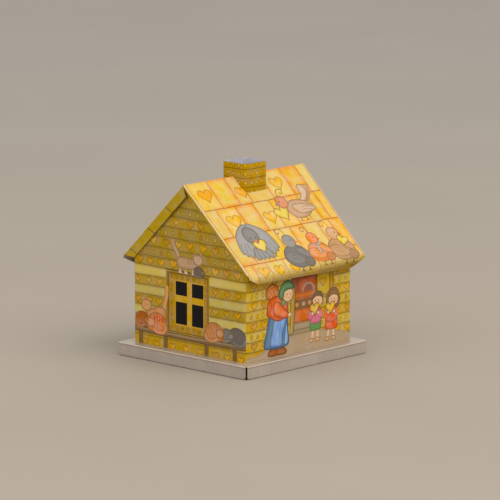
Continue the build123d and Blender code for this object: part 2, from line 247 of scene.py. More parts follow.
# ---- artwork
class Art:
    """Flat artwork. Shapes are painted in order, each over those before it, within the outline."""

    def __init__(self, outline, ground, seed):
        self.outline = np.asarray(outline, float)
        self.rng = random.Random(seed)
        self.creases = []
        self.holes = []
        self.shapes = []
        self.paint(self.outline, ground)

    def paint(self, points, colour, edge=None, reach=1.0):
        """Fills a shape. With an edge colour, pigment gathers within reach of the outline."""
        points = np.asarray(points, float)
        self.shapes.append((points, colour, edge, reach))
        if edge is not None:
            self.creases += [(grown(points, -reach / 2), True), (grown(points, -reach), True)]

    def pen(self, points, width, colour, taper=0.35):
        """A pen line along an open path."""
        self.paint(ribbon(points, width, taper), colour)

    def drawn(self, points, colour, line, width, edge=None, reach=1.0):
        """A filled shape with a pen line round it."""
        self.paint(grown(points, width / 2), line)
        self.paint(grown(points, -width / 2), colour, edge, reach)

    def crease(self, points):
        """A line that the mesh has to follow, such as a fold of the sheet."""
        self.creases.append((np.asarray(points, float), False))

    def cut(self, points):
        """A way through the sheet, which the mesh leaves open."""
        self.holes.append(np.asarray(points, float))
        self.creases.append((self.holes[-1], True))

    def triangles(self):
        """Flat points, triangles in which no two shapes mix, and each triangle's topmost shape."""
        points, edges = [], []
        for loop, closed in [(shape[0], True) for shape in self.shapes] + self.creases:
            start = len(points)
            points += [Vector(p) for p in loop]
            edges += [(start + i, start + i + 1) for i in range(len(loop) - 1)]
            if closed:
                edges.append((start + len(loop) - 1, start))
        flat, _, faces, *_ = delaunay_2d_cdt(points, edges, [], 0, MERGE, False)
        flat, faces = np.array(flat, float), np.array(faces)
        middle = flat[faces].mean(1)
        owner = np.full(len(faces), -1)
        within = inside(middle, self.outline)
        for hole in self.holes:
            within &= ~inside(middle, hole)
        for index, (outline, *_) in enumerate(self.shapes):
            boxed = (middle >= outline.min(0)).all(1) & (middle <= outline.max(0)).all(1)
            near = np.flatnonzero(within & boxed)
            owner[near[inside(middle[near], outline)]] = index
        return flat, faces[owner >= 0], owner[owner >= 0]

    def inks(self, flat, faces, owner, light):
        """The colour at each corner of each triangle."""
        colours = np.ones((len(faces) * 3, 4))
        for index in np.unique(owner):
            outline, colour, edge, reach = self.shapes[index]
            corners = np.flatnonzero(np.repeat(owner == index, 3))
            colours[corners, :3] = linear(colour, light)
            if edge is not None:
                share = edge_distance(flat[faces.ravel()[corners]], outline) / reach
                share = 1 - np.clip(share, 0, 1)[:, None] ** 0.8
                colours[corners, :3] += share * (linear(edge, light) - linear(colour, light))
        return colours

    def skin(self, name, place, material, light):
        """The artwork as one mesh, bent onto its sheet."""
        flat, faces, owner = self.triangles()
        colours = self.inks(flat, faces, owner, light)
        used, faces = np.unique(faces, return_inverse=True)
        mesh = bpy.data.meshes.new(name)
        solid = [MM * Vector(place(u, v)) for u, v in flat[used]]
        mesh.from_pydata(solid, [], faces.reshape(-1, 3).tolist())
        mesh.color_attributes.new("ink", "FLOAT_COLOR", "CORNER").data.foreach_set("color", colours.ravel())
        mesh.polygons.foreach_set("use_smooth", np.ones(len(mesh.polygons), bool))
        mesh.materials.append(material)
        piece = bpy.data.objects.new(name, mesh)
        bpy.context.scene.collection.objects.link(piece)
        return piece


# ---- bending flat artwork onto the sheets
def arc_steps(start, stop, count=6):
    """Places along a bend where the skin has to be creased."""
    return [start + (stop - start) * i / count for i in range(count + 1)]


def tube_place(half, corner_r, face, centre=0.0, seam=NO_SEAM):
    """Places artwork on one face of a square tube; a face reaches to the middle of its corners.
    A seam is a strip from one u to another that stands proud of the face, or below it."""
    flat = half - corner_r

    def place(u, v):
        lift = SKIN + (seam[2] if seam[0] <= u <= seam[1] else 0.0)
        bend = max(0.0, abs(u) - flat) / corner_r
        x = math.copysign(min(abs(u), flat) + (corner_r + lift) * math.sin(bend), u)
        y = -flat - (corner_r + lift) * math.cos(bend)
        for _ in range(face):
            x, y = -y, x
        return (centre + x, y, v)

    return place


def tube_reach(half, corner_r):
    """Half the flat width of a tube's face, to the middle of its corners."""
    return half - corner_r + math.pi * corner_r / 4


def crease_tube(art, half, corner_r, low, high, seam):
    """Lets the mesh follow a tube's rounded corners and the two sides of a seam."""
    levels = []
    for sign in (-1, 1):
        levels += arc_steps(sign * (half - corner_r), sign * tube_reach(half, corner_r), 4)
    if seam != NO_SEAM:
        levels += [seam[0] - SEAM_WALL, seam[0], seam[1], seam[1] + SEAM_WALL]
    for u in levels:
        art.crease([(u, low), (u, high)])


RIDGE_ARC = RIDGE_R * PITCH
RIDGE_FLAT = RIDGE_R * math.tan(PITCH)
EAVE_FLAT_CUT = EAVE_R * math.tan(EAVE_TURN / 2)
EAVE_CORNER = EAVE_REACH + EAVE_R * (math.sin(PITCH) + math.tan(EAVE_TURN / 2) * math.cos(PITCH) - 1)
CURL_DOWN = EAVE_CORNER / math.cos(PITCH) - EAVE_FLAT_CUT
CURL_V = CURL_DOWN - RIDGE_FLAT + RIDGE_ARC
FLANGE_V = CURL_V + EAVE_R * EAVE_TURN
ROOF_V = FLANGE_V + EAVE_FLANGE - EAVE_FLAT_CUT
VERGE_FLAT_CUT = {side: VERGE_R * math.tan(turn / 2) for side, turn in VERGE_TURN.items()}
VERGE_U = {side: ROOF_HALF - cut for side, cut in VERGE_FLAT_CUT.items()}
VERGE_FLANGE_U = {side: VERGE_U[side] + VERGE_R * turn for side, turn in VERGE_TURN.items()}
ROOF_U = {side: VERGE_FLANGE_U[side] + VERGE_FLANGE[side] - cut for side, cut in VERGE_FLAT_CUT.items()}


def taper_slip(v):
    """How far the verges have come in at v, as the roof narrows towards the eaves."""
    return VERGE_TAPER * min(max(-v, 0.0), CURL_V)


END_SLIP = taper_slip(-CURL_V)


def roof_place(side):
    """Places artwork on one roof slope: side -1 is over the door wall. v runs from 0 at the ridge down."""

    def place(u, v):
        down, depth = -v, -SKIN
        slip = taper_slip(v)
        x = abs(u) + slip
        rounded = x <= ROOF_HALF - VERGE_STRIP
        if x > VERGE_U[side] and down < CURL_V - MERGE:
            bend = min((x - VERGE_U[side]) / VERGE_R, VERGE_TURN[side])
            rest = max(0.0, x - VERGE_FLANGE_U[side])
            x = VERGE_U[side] + (VERGE_R + SKIN) * math.sin(bend) + rest * math.cos(bend)
            depth = VERGE_R - (VERGE_R + SKIN) * math.cos(bend) + rest * math.sin(bend)
        x = ROOF_X + math.copysign(x - slip, u) * -side
        if down < RIDGE_ARC and rounded:
            bend = down / RIDGE_R
            top = RIDGE_Z - RIDGE_R / math.cos(PITCH)
            reach = RIDGE_R - depth
            return (x, side * reach * math.sin(bend), top + reach * math.cos(bend))
        down += (RIDGE_FLAT - RIDGE_ARC) * min(1.0, down / RIDGE_ARC)
        if down > CURL_DOWN:
            bend = min((down - CURL_DOWN) / EAVE_R, EAVE_TURN)
            rest = max(0.0, down - CURL_DOWN - EAVE_R * EAVE_TURN)
            down = CURL_DOWN + (EAVE_R + SKIN) * math.sin(bend) + rest * math.cos(bend)
            depth = EAVE_R - (EAVE_R + SKIN) * math.cos(bend) + rest * math.sin(bend)
        y = down * math.cos(PITCH) - depth * math.sin(PITCH)
        return (x, side * y, RIDGE_Z - down * math.sin(PITCH) - depth * math.cos(PITCH))

    return place


def flange_edge(side, u):
    """The lower edge of the printed eave flange."""
    rise = FRONT_FLANGE_RISE * (ROOF_HALF - u) / (2 * ROOF_HALF) if side == -1 else 0.0
    return TRIM - ROOF_V + rise / math.sin(PITCH + EAVE_TURN)


def verge_end(side):
    """The lower end of a verge flange: slanted, and level where the eave's end cut passes through it."""
    turn, fold, flange, tip = VERGE_TURN[side], VERGE_U[side], VERGE_FLANGE_U[side], ROOF_U[side] - TRIM
    upper = 3 * SHEET
    slanted = lambda depth: VERGE_END_CUT * (depth - upper) / (VERGE_FLANGE[side] - upper)
    level = lambda depth: depth / math.tan(PITCH)
    depth = VERGE_R * (1 - math.cos(turn))
    end = [(tip, slanted(VERGE_FLANGE[side] * math.sin(turn)))]
    beyond = fold + VERGE_R * math.sin(turn) - ROOF_HALF + EAVE_INSET + TRIM
    if beyond > 0:
        notch = -beyond * math.tan(turn)
        notch_u = flange + notch / math.sin(turn)
        end += [(notch_u, slanted(depth + notch)), (notch_u, level(depth + notch)), (flange, level(depth))]
    else:
        end.append((flange, slanted(depth)))
    return [(u, TRIM - CURL_V + rise) for u, rise in end + [(fold, 0.0)]]


def roof_outline(side):
    """The developed outline of one slope, with its verge flanges and mitred eave ends."""
    tip_depth = VERGE_FLANGE[side] * math.sin(VERGE_TURN[side])
    mitre_v = tip_depth * math.tan(PITCH) - RIDGE_FLAT + RIDGE_ARC
    height = lambda v: roof_place(side)(0, v)[2]
    corner_z = RIDGE_Z - math.tan(PITCH) * EAVE_CORNER
    half = [(VERGE_U[side], 0), (VERGE_FLANGE_U[side], -VERGE_TOP_CUT),
            (ROOF_U[side] - TRIM, -mitre_v - TRIM), *verge_end(side)]
    for v in np.linspace(-CURL_V - TRIM, TRIM - ROOF_V, 11):
        cut = max(0.0, (corner_z - height(v)) / (corner_z - height(-ROOF_V)))
        half.append((ROOF_HALF - TRIM - EAVE_INSET - EAVE_MITRE * cut, v))
    half = [(u - taper_slip(v), v) for u, v in half]
    outline = half + [(-u, v) for u, v in reversed(half)]
    return [(u, max(v, flange_edge(side, u))) for u, v in outline]


# ---- node materials
class Nodes:
    """A short hand for building one material's node tree."""

    def __init__(self, name):
        self.material = bpy.data.materials.new(name)
        self.material.use_nodes = True
        self.tree = self.material.node_tree
        self.shader = self.tree.nodes["Principled BSDF"]

    def feed(self, value, socket):
        if isinstance(value, bpy.types.NodeSocket):
            self.tree.links.new(value, socket)
        else:
            socket.default_value = value

    def add(self, kind, settings=None, *values, **inputs):
        """A node with its settings, its first sockets fed in order and others by name."""
        node = self.tree.nodes.new(kind)
        for key, value in (settings or {}).items():
            setattr(node, key, value)
        for value, socket in zip(values, node.inputs):
            self.feed(value, socket)
        for key, value in inputs.items():
            self.feed(value, node.inputs[key.replace("_", " ")])
        return node

    def place(self):
        return self.add("ShaderNodeTexCoord").outputs["Object"]

    def maths(self, operation, *values):
        return self.add("ShaderNodeMath", {"operation": operation}, *values).outputs[0]

    def blend(self, share, first, second):
        node = self.add("ShaderNodeMix", {"data_type": "RGBA"})
        for value, socket in ((share, 0), (first, 6), (second, 7)):
            self.feed(value, node.inputs[socket])
        return node.outputs[2]

    def toned(self, value, colour):
        """The colour, made lighter or darker by a value about 1."""
        return self.add("ShaderNodeHueSaturation", Value=value, Color=colour)

    def noise(self, size, detail, stretch=(1, 1, 1), roughness=0.5):
        """Noise whose features are about size millimetres across, stretched along an axis."""
        scale = [1 / (size * MM * s) for s in stretch]
        where = self.add("ShaderNodeMapping", Vector=self.place(), Scale=scale).outputs[0]
        node = self.add("ShaderNodeTexNoise", Vector=where, Scale=1.0, Detail=detail, Roughness=roughness)
        return node.outputs["Fac"]

    def ramp(self, value, low, high, out_low=0.0, out_high=1.0):
        """The value's range low to high, spread over another range."""
        spread = {"interpolation_type": "SMOOTHSTEP"}
        return self.add("ShaderNodeMapRange", spread, value, low, high, out_low, out_high).outputs[0]

    def bump(self, height, strength, distance):
        node = self.add("ShaderNodeBump", Height=height, Strength=strength, Distance=distance * MM)
        self.feed(node.outputs[0], self.shader.inputs["Normal"])

    def set(self, **inputs):
        for key, value in inputs.items():
            self.feed(value, self.shader.inputs[key.replace("_", " ")])


def print_material(name, grain, wash, gloss, sheen=0.12):
    """Lithographed inks under varnish: washes, pigment grain and a slightly uneven surface."""
    n = Nodes(name)
    ink = n.add("ShaderNodeAttribute", {"attribute_name": "ink"}).outputs["Color"]
    clouds = n.ramp(n.noise(9.0, 3.0), 0.32, 0.68, 1 - wash, 1 + wash)
    pigment = n.ramp(n.noise(0.9, 4.0, roughness=0.7), 0.3, 0.7, 1 - grain, 1 + grain)
    washed = n.toned(n.maths("MULTIPLY", clouds, pigment), ink)
    n.feed(n.ramp(n.noise(5.0, 2.0), 0.3, 0.7, 0.9, 1.08), washed.inputs["Saturation"])
    n.set(Base_Color=washed.outputs[0], Coat_Weight=gloss, Coat_Roughness=0.25, Specular_IOR_Level=sheen)
    n.set(Roughness=n.ramp(n.noise(3.0, 3.0), 0.3, 0.7, 0.36, 0.5))
    n.bump(n.noise(14.0, 2.0), 0.25, 0.6)
    return n.material


CRYSTALS = (220.0, 220.0, 160.0)     # crystals of the tinning, in each metre along X, Y and Z


def tin_material(name, colour, outside, centre):
    """Bare tinplate inside, with its crystalline bloom; the ground coat of the print outside.
    The outside faces away from centre, a point within the sheet's hollow."""
    n = Nodes(name)
    normal = n.add("ShaderNodeNewGeometry").outputs["True Normal"]
    place = n.place()
    outward = n.add("ShaderNodeVectorMath", {"operation": "SUBTRACT"}, place, [c * MM for c in centre])
    facing = n.add("ShaderNodeVectorMath", {"operation": "DOT_PRODUCT"}, outward.outputs[0], normal)
    printed = n.maths("GREATER_THAN", facing.outputs["Value"], 0.0)
    where = n.add("ShaderNodeMapping", Vector=place, Scale=CRYSTALS).outputs[0]
    crystals = n.add("ShaderNodeTexVoronoi", {"feature": "F1"}, Vector=where, Scale=1.0, Randomness=1.0)
    bloom = n.ramp(crystals.outputs["Color"], 0.0, 1.0, 0.9, 1.06)
    stain = n.ramp(n.noise(12.0, 4.0), 0.35, 0.75, 1.0, 0.8)
    metal = n.toned(n.maths("MULTIPLY", bloom, stain), rgba(colour))
    n.set(Base_Color=n.blend(printed, metal.outputs[0], rgba(outside)))
    n.set(Metallic=n.maths("MULTIPLY", n.maths("SUBTRACT", 1.0, printed), 0.45))
    n.set(Roughness=n.ramp(n.noise(4.0, 3.0), 0.3, 0.7, 0.28, 0.44))
    n.bump(n.noise(0.5, 2.0, stretch=(1, 1, 12)), 0.08, 0.1)
    return n.material


def tray_material():
    """Grey-beige coating on fine brushed tin: streaks, a pale fold (painted highlight, partly worn metal),
    painted shade under it and along the bottom edge.
    """
    n = Nodes("tray_coat")
    height = n.add("ShaderNodeSeparateXYZ", Vector=n.place()).outputs["Z"]
    normal = n.add("ShaderNodeNewGeometry").outputs["True Normal"]
    level = n.maths("ABSOLUTE", n.add("ShaderNodeSeparateXYZ", Vector=normal).outputs["Z"])
    streaks = n.ramp(n.noise(0.55, 3.0, stretch=(1, 1, 30)), 0.3, 0.7, 0.93, 1.06)
    clouds = n.ramp(n.noise(16.0, 3.0), 0.3, 0.7, 0.95, 1.05)
    coat = n.toned(n.maths("MULTIPLY", streaks, clouds), rgba((177, 165, 152)))
    top = TRAY_TOP * MM
    wobble = n.maths("MULTIPLY", n.maths("SUBTRACT", n.noise(7.0, 2.0), 0.5), 0.5 * MM)
    at = n.maths("ADD", height, wobble)
    # painted shade: a darker band just under the top fold
    shade = n.maths("MULTIPLY", n.ramp(at, top - 1.9 * MM, top - 1.0 * MM), 0.45)
    # painted highlight along the top fold, partly worn metal
    fold = n.ramp(at, top - 0.65 * MM, top - 0.32 * MM)
    high = n.maths("GREATER_THAN", height, 0.5 * top)
    flat = n.maths("MULTIPLY", n.maths("GREATER_THAN", level, 0.9), high)
    # painted shade: darker along the bottom edge, next to the floor
    foot = n.maths("MULTIPLY", n.ramp(at, 0.9 * MM, 0.25 * MM), 0.75)
    colour = coat.outputs[0]
    for share, tone in ((shade, (134, 104, 76)), (fold, (198, 182, 164)), (flat, (176, 160, 142)),
                        (foot, (82, 70, 58))):
        colour = n.blend(share, colour, rgba(tone))
    n.set(Base_Color=colour, Metallic=0.25, Coat_Weight=0.25, Coat_Roughness=0.28)
    n.set(Roughness=n.ramp(n.noise(0.6, 2.0, stretch=(1, 1, 25)), 0.3, 0.7, 0.34, 0.5))
    n.bump(n.noise(0.35, 2.0, stretch=(1, 1, 40)), 0.1, 0.08)
    return n.material


def bare_metal(name, colour, roughness):
    """Worn bare metal: rolled grain, fine scratches in two directions and a dull bloom."""
    n = Nodes(name)
    grain = n.ramp(n.noise(0.5, 3.0, stretch=(18, 1, 1)), 0.3, 0.7, 0.93, 1.05)
    dull = n.noise(5.0, 4.0)
    scratched = n.ramp(n.noise(0.35, 3.0, stretch=(1, 30, 1)), 0.6, 0.72)
    metal = n.toned(n.maths("MULTIPLY", grain, n.ramp(dull, 0.35, 0.7, 1.04, 0.82)), rgba(colour))
    bright = rgba(mix(colour, WHITE, 0.5))
    n.set(Base_Color=n.blend(n.maths("MULTIPLY", scratched, 0.5), metal.outputs[0], bright), Metallic=0.9)
    n.set(Roughness=n.maths("ADD", n.ramp(dull, 0.3, 0.7, roughness - 0.08, roughness + 0.14),
                            n.maths("MULTIPLY", scratched, -0.08)))
    n.bump(n.noise(0.35, 3.0, stretch=(14, 1, 1)), 0.12, 0.08)
    return n.material


# ---- stage
WALL_LIGHT = 0.9                # light on the walls, under which their inks are given
ROOF_LIGHT = 1.27
FLOOR_LIGHT = 1.35
SKY_STRENGTH = 0.8
KEY_POWER = 46.0
FILL_POWER = 8.0
VIEW_AZIMUTH = -46.84
VIEW_ELEVATION = 10.83
VIEW_DISTANCE = 2.8
VIEW_TARGET = Vector((0.0032, -0.0034, 0.0664))
VIEW_LENS = 322.0
LIT_TARGET = Vector((0, 0, 0.05))


def aim(name, data, azimuth, elevation, distance, target):
    """Puts a camera or a light where it sees the target at those angles, in degrees."""
    turn, rise = math.radians(azimuth), math.radians(elevation)
    away = Vector((math.sin(turn) * math.cos(rise), -math.cos(turn) * math.cos(rise), math.sin(rise)))
    thing = bpy.data.objects.new(name, data)
    thing.location = target + away * distance
    thing.rotation_euler = (-away).to_track_quat("-Z", "Y").to_euler()
    bpy.context.scene.collection.objects.link(thing)
    return thing


def make_camera():
    lens = bpy.data.cameras.new("view")
    lens.lens = VIEW_LENS
    lens.sensor_width = 36.0
    lens.clip_end = 20.0
    bpy.context.scene.camera = aim("view", lens, VIEW_AZIMUTH, VIEW_ELEVATION, VIEW_DISTANCE, VIEW_TARGET)


def make_light(name, azimuth, elevation, distance, size, power, colour):
    light = bpy.data.lights.new(name, "AREA")
    light.shape = "DISK"
    light.size = size
    light.energy = power
    light.color = colour
    aim(name, light, azimuth, elevation, distance, LIT_TARGET)


def floor_material():
    n = Nodes("floor_paper")
    clouds = n.ramp(n.noise(160.0, 2.0), 0.3, 0.7, 0.985, 1.015)
    # the paper turns slightly cooler and lighter away from the middle: painted light, standing for cooler
    # light on the far floor
    away = n.add("ShaderNodeVectorMath", {"operation": "LENGTH"}, n.place()).outputs["Value"]
    near, far = rgba((184, 172, 156), FLOOR_LIGHT), rgba((185, 176, 164), FLOOR_LIGHT)
    paper = n.toned(clouds, n.blend(n.ramp(away, 0.2, 1.5), near, far))
    n.set(Base_Color=paper.outputs[0], Roughness=0.9)
    n.bump(n.noise(1.2, 3.0), 0.05, 0.1)
    return n.material


def make_stage():
    """Pale floor without an edge in view, a large soft key light, a fill and an even sky."""
    mesh = bpy.data.meshes.new("floor")
    mesh.from_pydata([(-12, -12, 0), (12, -12, 0), (12, 12, 0), (-12, 12, 0)], [], [(0, 1, 2, 3)])
    mesh.materials.append(floor_material())
    floor = bpy.data.objects.new("floor", mesh)
    bpy.context.scene.collection.objects.link(floor)
    world = bpy.data.worlds.new("sky")
    world.use_nodes = True
    sky = world.node_tree.nodes["Background"]
    sky.inputs["Color"].default_value = (1.0, 0.99, 0.985, 1.0)
    sky.inputs["Strength"].default_value = SKY_STRENGTH
    bpy.context.scene.world = world
    make_light("key", 5, 48, 3.0, 2.0, KEY_POWER, (1.0, 0.97, 0.92))
    make_light("fill", -95, 34, 1.8, 2.2, FILL_POWER, (0.97, 0.985, 1.0))


# ---- small motifs
def small_heart(art, at, width, colour=GOLD, line=BROWN):
    shape = heart(at, width * art.rng.uniform(0.9, 1.04), art.rng.uniform(-0.14, 0.14), 20)
    colour = shifted(colour, art.rng, 12)
    art.drawn(shape, colour, mix(line, colour, 0.3), 0.38, mix(colour, BROWN, 0.16), 0.9)


def small_drop(art, at, height, colour=HONEY, line=BROWN):
    shape = drop(at, height * art.rng.uniform(0.9, 1.1), art.rng.uniform(-0.2, 0.2))
    if art.rng.random() < 0.25:
        colour = mix(colour, RUST, 0.5)
    art.drawn(shape, shifted(colour, art.rng, 10), mix(line, colour, 0.25), 0.36)


def small_ring(art, at, radius):
    pale = mix(HONEY, (255, 240, 190), 0.45)
    for across, up, count, colour in ((1, 1.1, 12, BROWN), (0.66, 0.76, 10, HONEY), (0.28, 0.32, 8, pale)):
        art.paint(ellipse(at, radius * across, radius * up, count), colour)


def motif_row(art, motif, height, places, size):
    for u in places:
        at = (u + art.rng.uniform(-0.5, 0.5), height + art.rng.uniform(-0.3, 0.3))
        if motif == "hearts":
            small_heart(art, at, size)
        elif art.rng.random() < 0.3:
            small_ring(art, at, size * 0.34)
        else:
            small_drop(art, at, size)


def every(pitch, offset, reach):
    """Places along a row, pitch apart and through offset."""
    first = math.ceil((-reach - offset) / pitch)
    last = math.floor((reach - offset) / pitch)
    return [offset + pitch * i for i in range(first, last + 1)]


def wavy(art, level, reach, sway=0.35):
    """A hand-drawn level line that is dead level at both ends, so that it meets its neighbours."""
    first, second = art.rng.uniform(-sway, sway), art.rng.uniform(-sway, sway)
    share = np.linspace(0, 1, 30)
    v = level + first * np.sin(2 * math.pi * share) + second * np.sin(6 * math.pi * share) / 2
    return np.stack([reach * (2 * share - 1), v], 1)


# ---- planks, windows and benches
WALL_REACH = tube_reach(WALL_HALF, WALL_CORNER_R)
PLANK_LEVELS = (5, 14.6, 20.8, 27.2, 33.6, 40.2, 46.2, 52.6, 58.8, 65.2, 71.4, 78.8, 85.8, 92.4, 98.8,
                118)
HEART_SIZE = 5.6
DROP_SIZE = 3.1


def wall_outline(gable):
    gap = SHEET / math.cos(PITCH) + TRIM
    roof_over = lambda u: RIDGE_Z - gap - math.tan(PITCH) * u
    half = [(WALL_REACH, PRINT_FOOT), (WALL_REACH, roof_over(WALL_HALF))]
    if gable:
        top = RIDGE_Z - GABLE_TOP_GAP
        flat = WALL_HALF - WALL_CORNER_R
        half += [(flat, roof_over(flat)), ((RIDGE_Z - gap - top) / math.tan(PITCH), top)]
    return half + [(-u, v) for u, v in reversed(half)]


def planks(art, rows):
    """Boards across the whole wall. Each row gives its ground, motif, places and motif size."""
    lines = [wavy(art, level, WALL_REACH + 2) for level in PLANK_LEVELS]
    for low, high, (ground, motif, places, size) in zip(lines, lines[1:], rows):
        colour = shifted(ground, art.rng, 5)
        art.paint(np.vstack([low, high[::-1]]), colour, mix(colour, BROWN, 0.3), 1.7)
        middle = (low[0, 1] + high[0, 1]) / 2
        roof = (RIDGE_Z - middle) / math.tan(PITCH) - 5
        motif_row(art, motif, middle, [u for u in places if abs(u) < min(roof, WALL_REACH - 1.2)], size)
    for line in lines[1:-1]:
        art.pen(line, 0.34, mix(PLANK_LINE, PLAIN, 0.1), 1)


def window(art, left, right, low, high):
    """A framed window with four black panes and a plain cross."""
    border, soft = 4.6, mix(BROWN, FRAME, 0.25)
    art.paint(rectangle(left - 2.2, right + 1.2, low - 0.2, high + 1.6), mix(BROWN, STRAW, 0.35), STRAW, 1.6)
    art.drawn(rectangle(left, right, low, high), FRAME, UMBER, 0.6, mix(FRAME, BROWN, 0.4), 1.4)
    for u in np.linspace(left + border / 2, right - border / 2, 7):
        for v in (high - border / 2 + 0.1, low + border / 2 + 0.2):
            small_heart(art, (u, v), 2.8, FRAME, soft)
    for v in np.linspace(low + border + 2.5, high - border - 2.5, 7):
        for u in (left + border / 2 + 0.4, right - border / 2 + 0.2):
            small_drop(art, (u, v), 2.6, FRAME, soft)
    near, far = left + border + 1.8, right - border + 0.6
    foot, top = low + border + 1, high - border - 0.2
    art.paint(rectangle(near - 0.9, far + 0.9, foot - 0.9, top + 0.9), CROSS, mix(CROSS, BROWN, 0.12), 1)
    middle, bar, half_bar = (near + far) / 2, foot + (top - foot) * 0.6, 2.2
    for u_range in ((near, middle - half_bar), (middle + half_bar, far)):
        for v_range in ((foot, bar - half_bar), (bar + half_bar, top)):
            art.paint(grown(rectangle(*u_range, *v_range), 0.18), mix(UMBER, CROSS, 0.3))
            art.paint(rectangle(*u_range, *v_range), PANE)
    art.pen([(left - 2.6, high + 1.9), (0, high + 1.7), (right + 1.8, high + 1.8)], 0.9, UMBER, 0.8)


def bench(art, left, right, top, legs):
    for u in legs:
        leg = rectangle(u - 1.6, u + 1.6, PRINT_FOOT - 2, top - 2.6)
        art.drawn(leg, mix(BENCH, BROWN, 0.2), BROWN, 0.4, dark(BENCH, 0.4), 0.9)
    seat = smooth([(left, top - 3.4), (0, top - 4.2), (right, top - 3.6), (right, top - 0.4), (0, top - 1),
                   (left, top - 0.6)])
    art.drawn(seat, BENCH, UMBER, 0.45, dark(BENCH, 0.35), 1)
    art.pen([(left + 1, top - 1.5), (0, top - 2), (right - 1, top - 1.4)], 1.3, BENCH_LIGHT, 0.5)


# ---- figures
class Figure:
    """One figure of the artwork. Its points and ovals are given from its place, in units of its size."""

    def __init__(self, art, at, size=1, flip=1, line=UMBER):
        self.art, self.at, self.size, self.flip, self.line = art, at, size, flip, line

    def put(self, points):
        return turned(points, self.at, self.size, flip=self.flip)

    def spot(self, u, v):
        return self.put([(u, v)])[0]

    def fill(self, outline, colour, width, edge, reach, line):
        """Pen and wash. edge is a colour, or how much the wash darkens towards its edge."""
        edge = dark(colour, edge) if isinstance(edge, float) else edge
        self.art.drawn(outline, colour, line or self.line, width, edge, reach)

    def shape(self, points, colour, width, edge=None, reach=1, line=None):
        """A round-cornered shape."""
        self.fill(smooth(self.put(points)), colour, width, edge, reach, line)

    def oval(self, at, across, up, colour, width, edge=None, reach=1, line=None, count=18):
        outline = ellipse(self.spot(*at), self.size * across, self.size * up, count)
        self.fill(outline, colour, width, edge, reach, line)

    def stroke(self, points, width, colour=None, taper=0.35, steps=4):
        self.art.pen(smooth(self.put(points), False, steps), width, colour or self.line, taper)

    def heart(self, at, size, turn, colour, line, edge, reach, width=0.5):
        outline = heart(self.spot(*at), self.size * size, turn * self.flip)
        self.fill(outline, colour, width, edge, reach, line)


# ---- cats of a plain, made-up kind
FUR_LIGHT = (255, 240, 220)


def tail(cat, path, width, coat):
    """A tail with a rounded tip."""
    path = smooth(cat.put(path), False)
    for colour, thick in ((cat.line, width + 0.8), (coat, width)):
        cat.art.pen(path, thick, colour, 0.9)
        cat.art.paint(ellipse(path[-1], thick * 0.46, thick * 0.46, 12), colour)


def cat_head(cat, at, reach, scale, coat, face, edge, glow, marks=()):
    """A round head with ears, sleepy eyes, a nose and whiskers. scale sizes the ears and the features."""
    art, line, middle, (across, up) = cat.art, cat.line, cat.spot(*at), reach
    for side in (-1, 1):
        ear = turned([(-0.95, 0.25), (-0.85, 1.35), (0.02, 0.8)], middle, cat.size * scale[0], flip=side)
        art.drawn(ear, coat, line, 0.35)
    art.drawn(ellipse(middle, cat.size * across, cat.size * up), face, line, 0.45, edge, glow)
    for lean in marks:
        art.pen(turned([(lean, 0.34), (lean * 0.7, 0.16)], middle, cat.size), 0.5, dark(coat, 0.5), 0.6)
    size = cat.size * scale[1]
    for side in (-1, 1):
        lid = [(side * 0.38 + u, v) for u, v in ((-0.24, 0.05), (0, 0.18), (0.24, 0.05))]
        art.pen(turned(lid, middle, size), 0.32, line)
    art.paint(turned([(-0.14, -0.22), (0.14, -0.22), (0, -0.42)], middle, size), (170, 110, 96))
    for side in (-1, 1):
        art.pen(turned([(side * 0.3, -0.34), (side * 0.95, -0.28)], middle, size), 0.16, line)


def curled_cat(art, at, size, coat, flip=1, stripes=None):
    """A cat asleep in a ring, its tail round its front. size is half its length."""
    cat = Figure(art, at, size, flip, dark(coat, 0.55))
    cat.shape([(-0.92, -0.45), (-0.86, 0.15), (-0.42, 0.62), (0.22, 0.7), (0.78, 0.45), (1, -0.08),
               (0.8, -0.58), (0.1, -0.74), (-0.55, -0.68)], coat, 0.5, 0.3, 1.6)
    cat.stroke([(0.05, -0.5), (0.1, -0.02), (0.42, 0.28), (0.74, 0.1)], 0.45)
    for u in (-0.28, 0, 0.28, 0.56, 0.8):
        foot = 0.06 if stripes else 0.3
        cat.stroke([(u, 0.62 - abs(u) * 0.3), (u + 0.07, 0.34 + foot / 3), (u + 0.02, foot)],
                   1 if stripes else 0.6, stripes or dark(coat, 0.28), steps=3)
    tail(cat, [(0.92, -0.2), (0.78, -0.62), (0.2, -0.72), (-0.3, -0.52)], size * 0.24,
         mix(coat, WHITE, 0.08))
    cat_head(cat, (-0.56, -0.06), (0.4, 0.34), (0.36, 0.36), coat, mix(coat, FUR_LIGHT, 0.14),
             dark(coat, 0.3), 0.9)


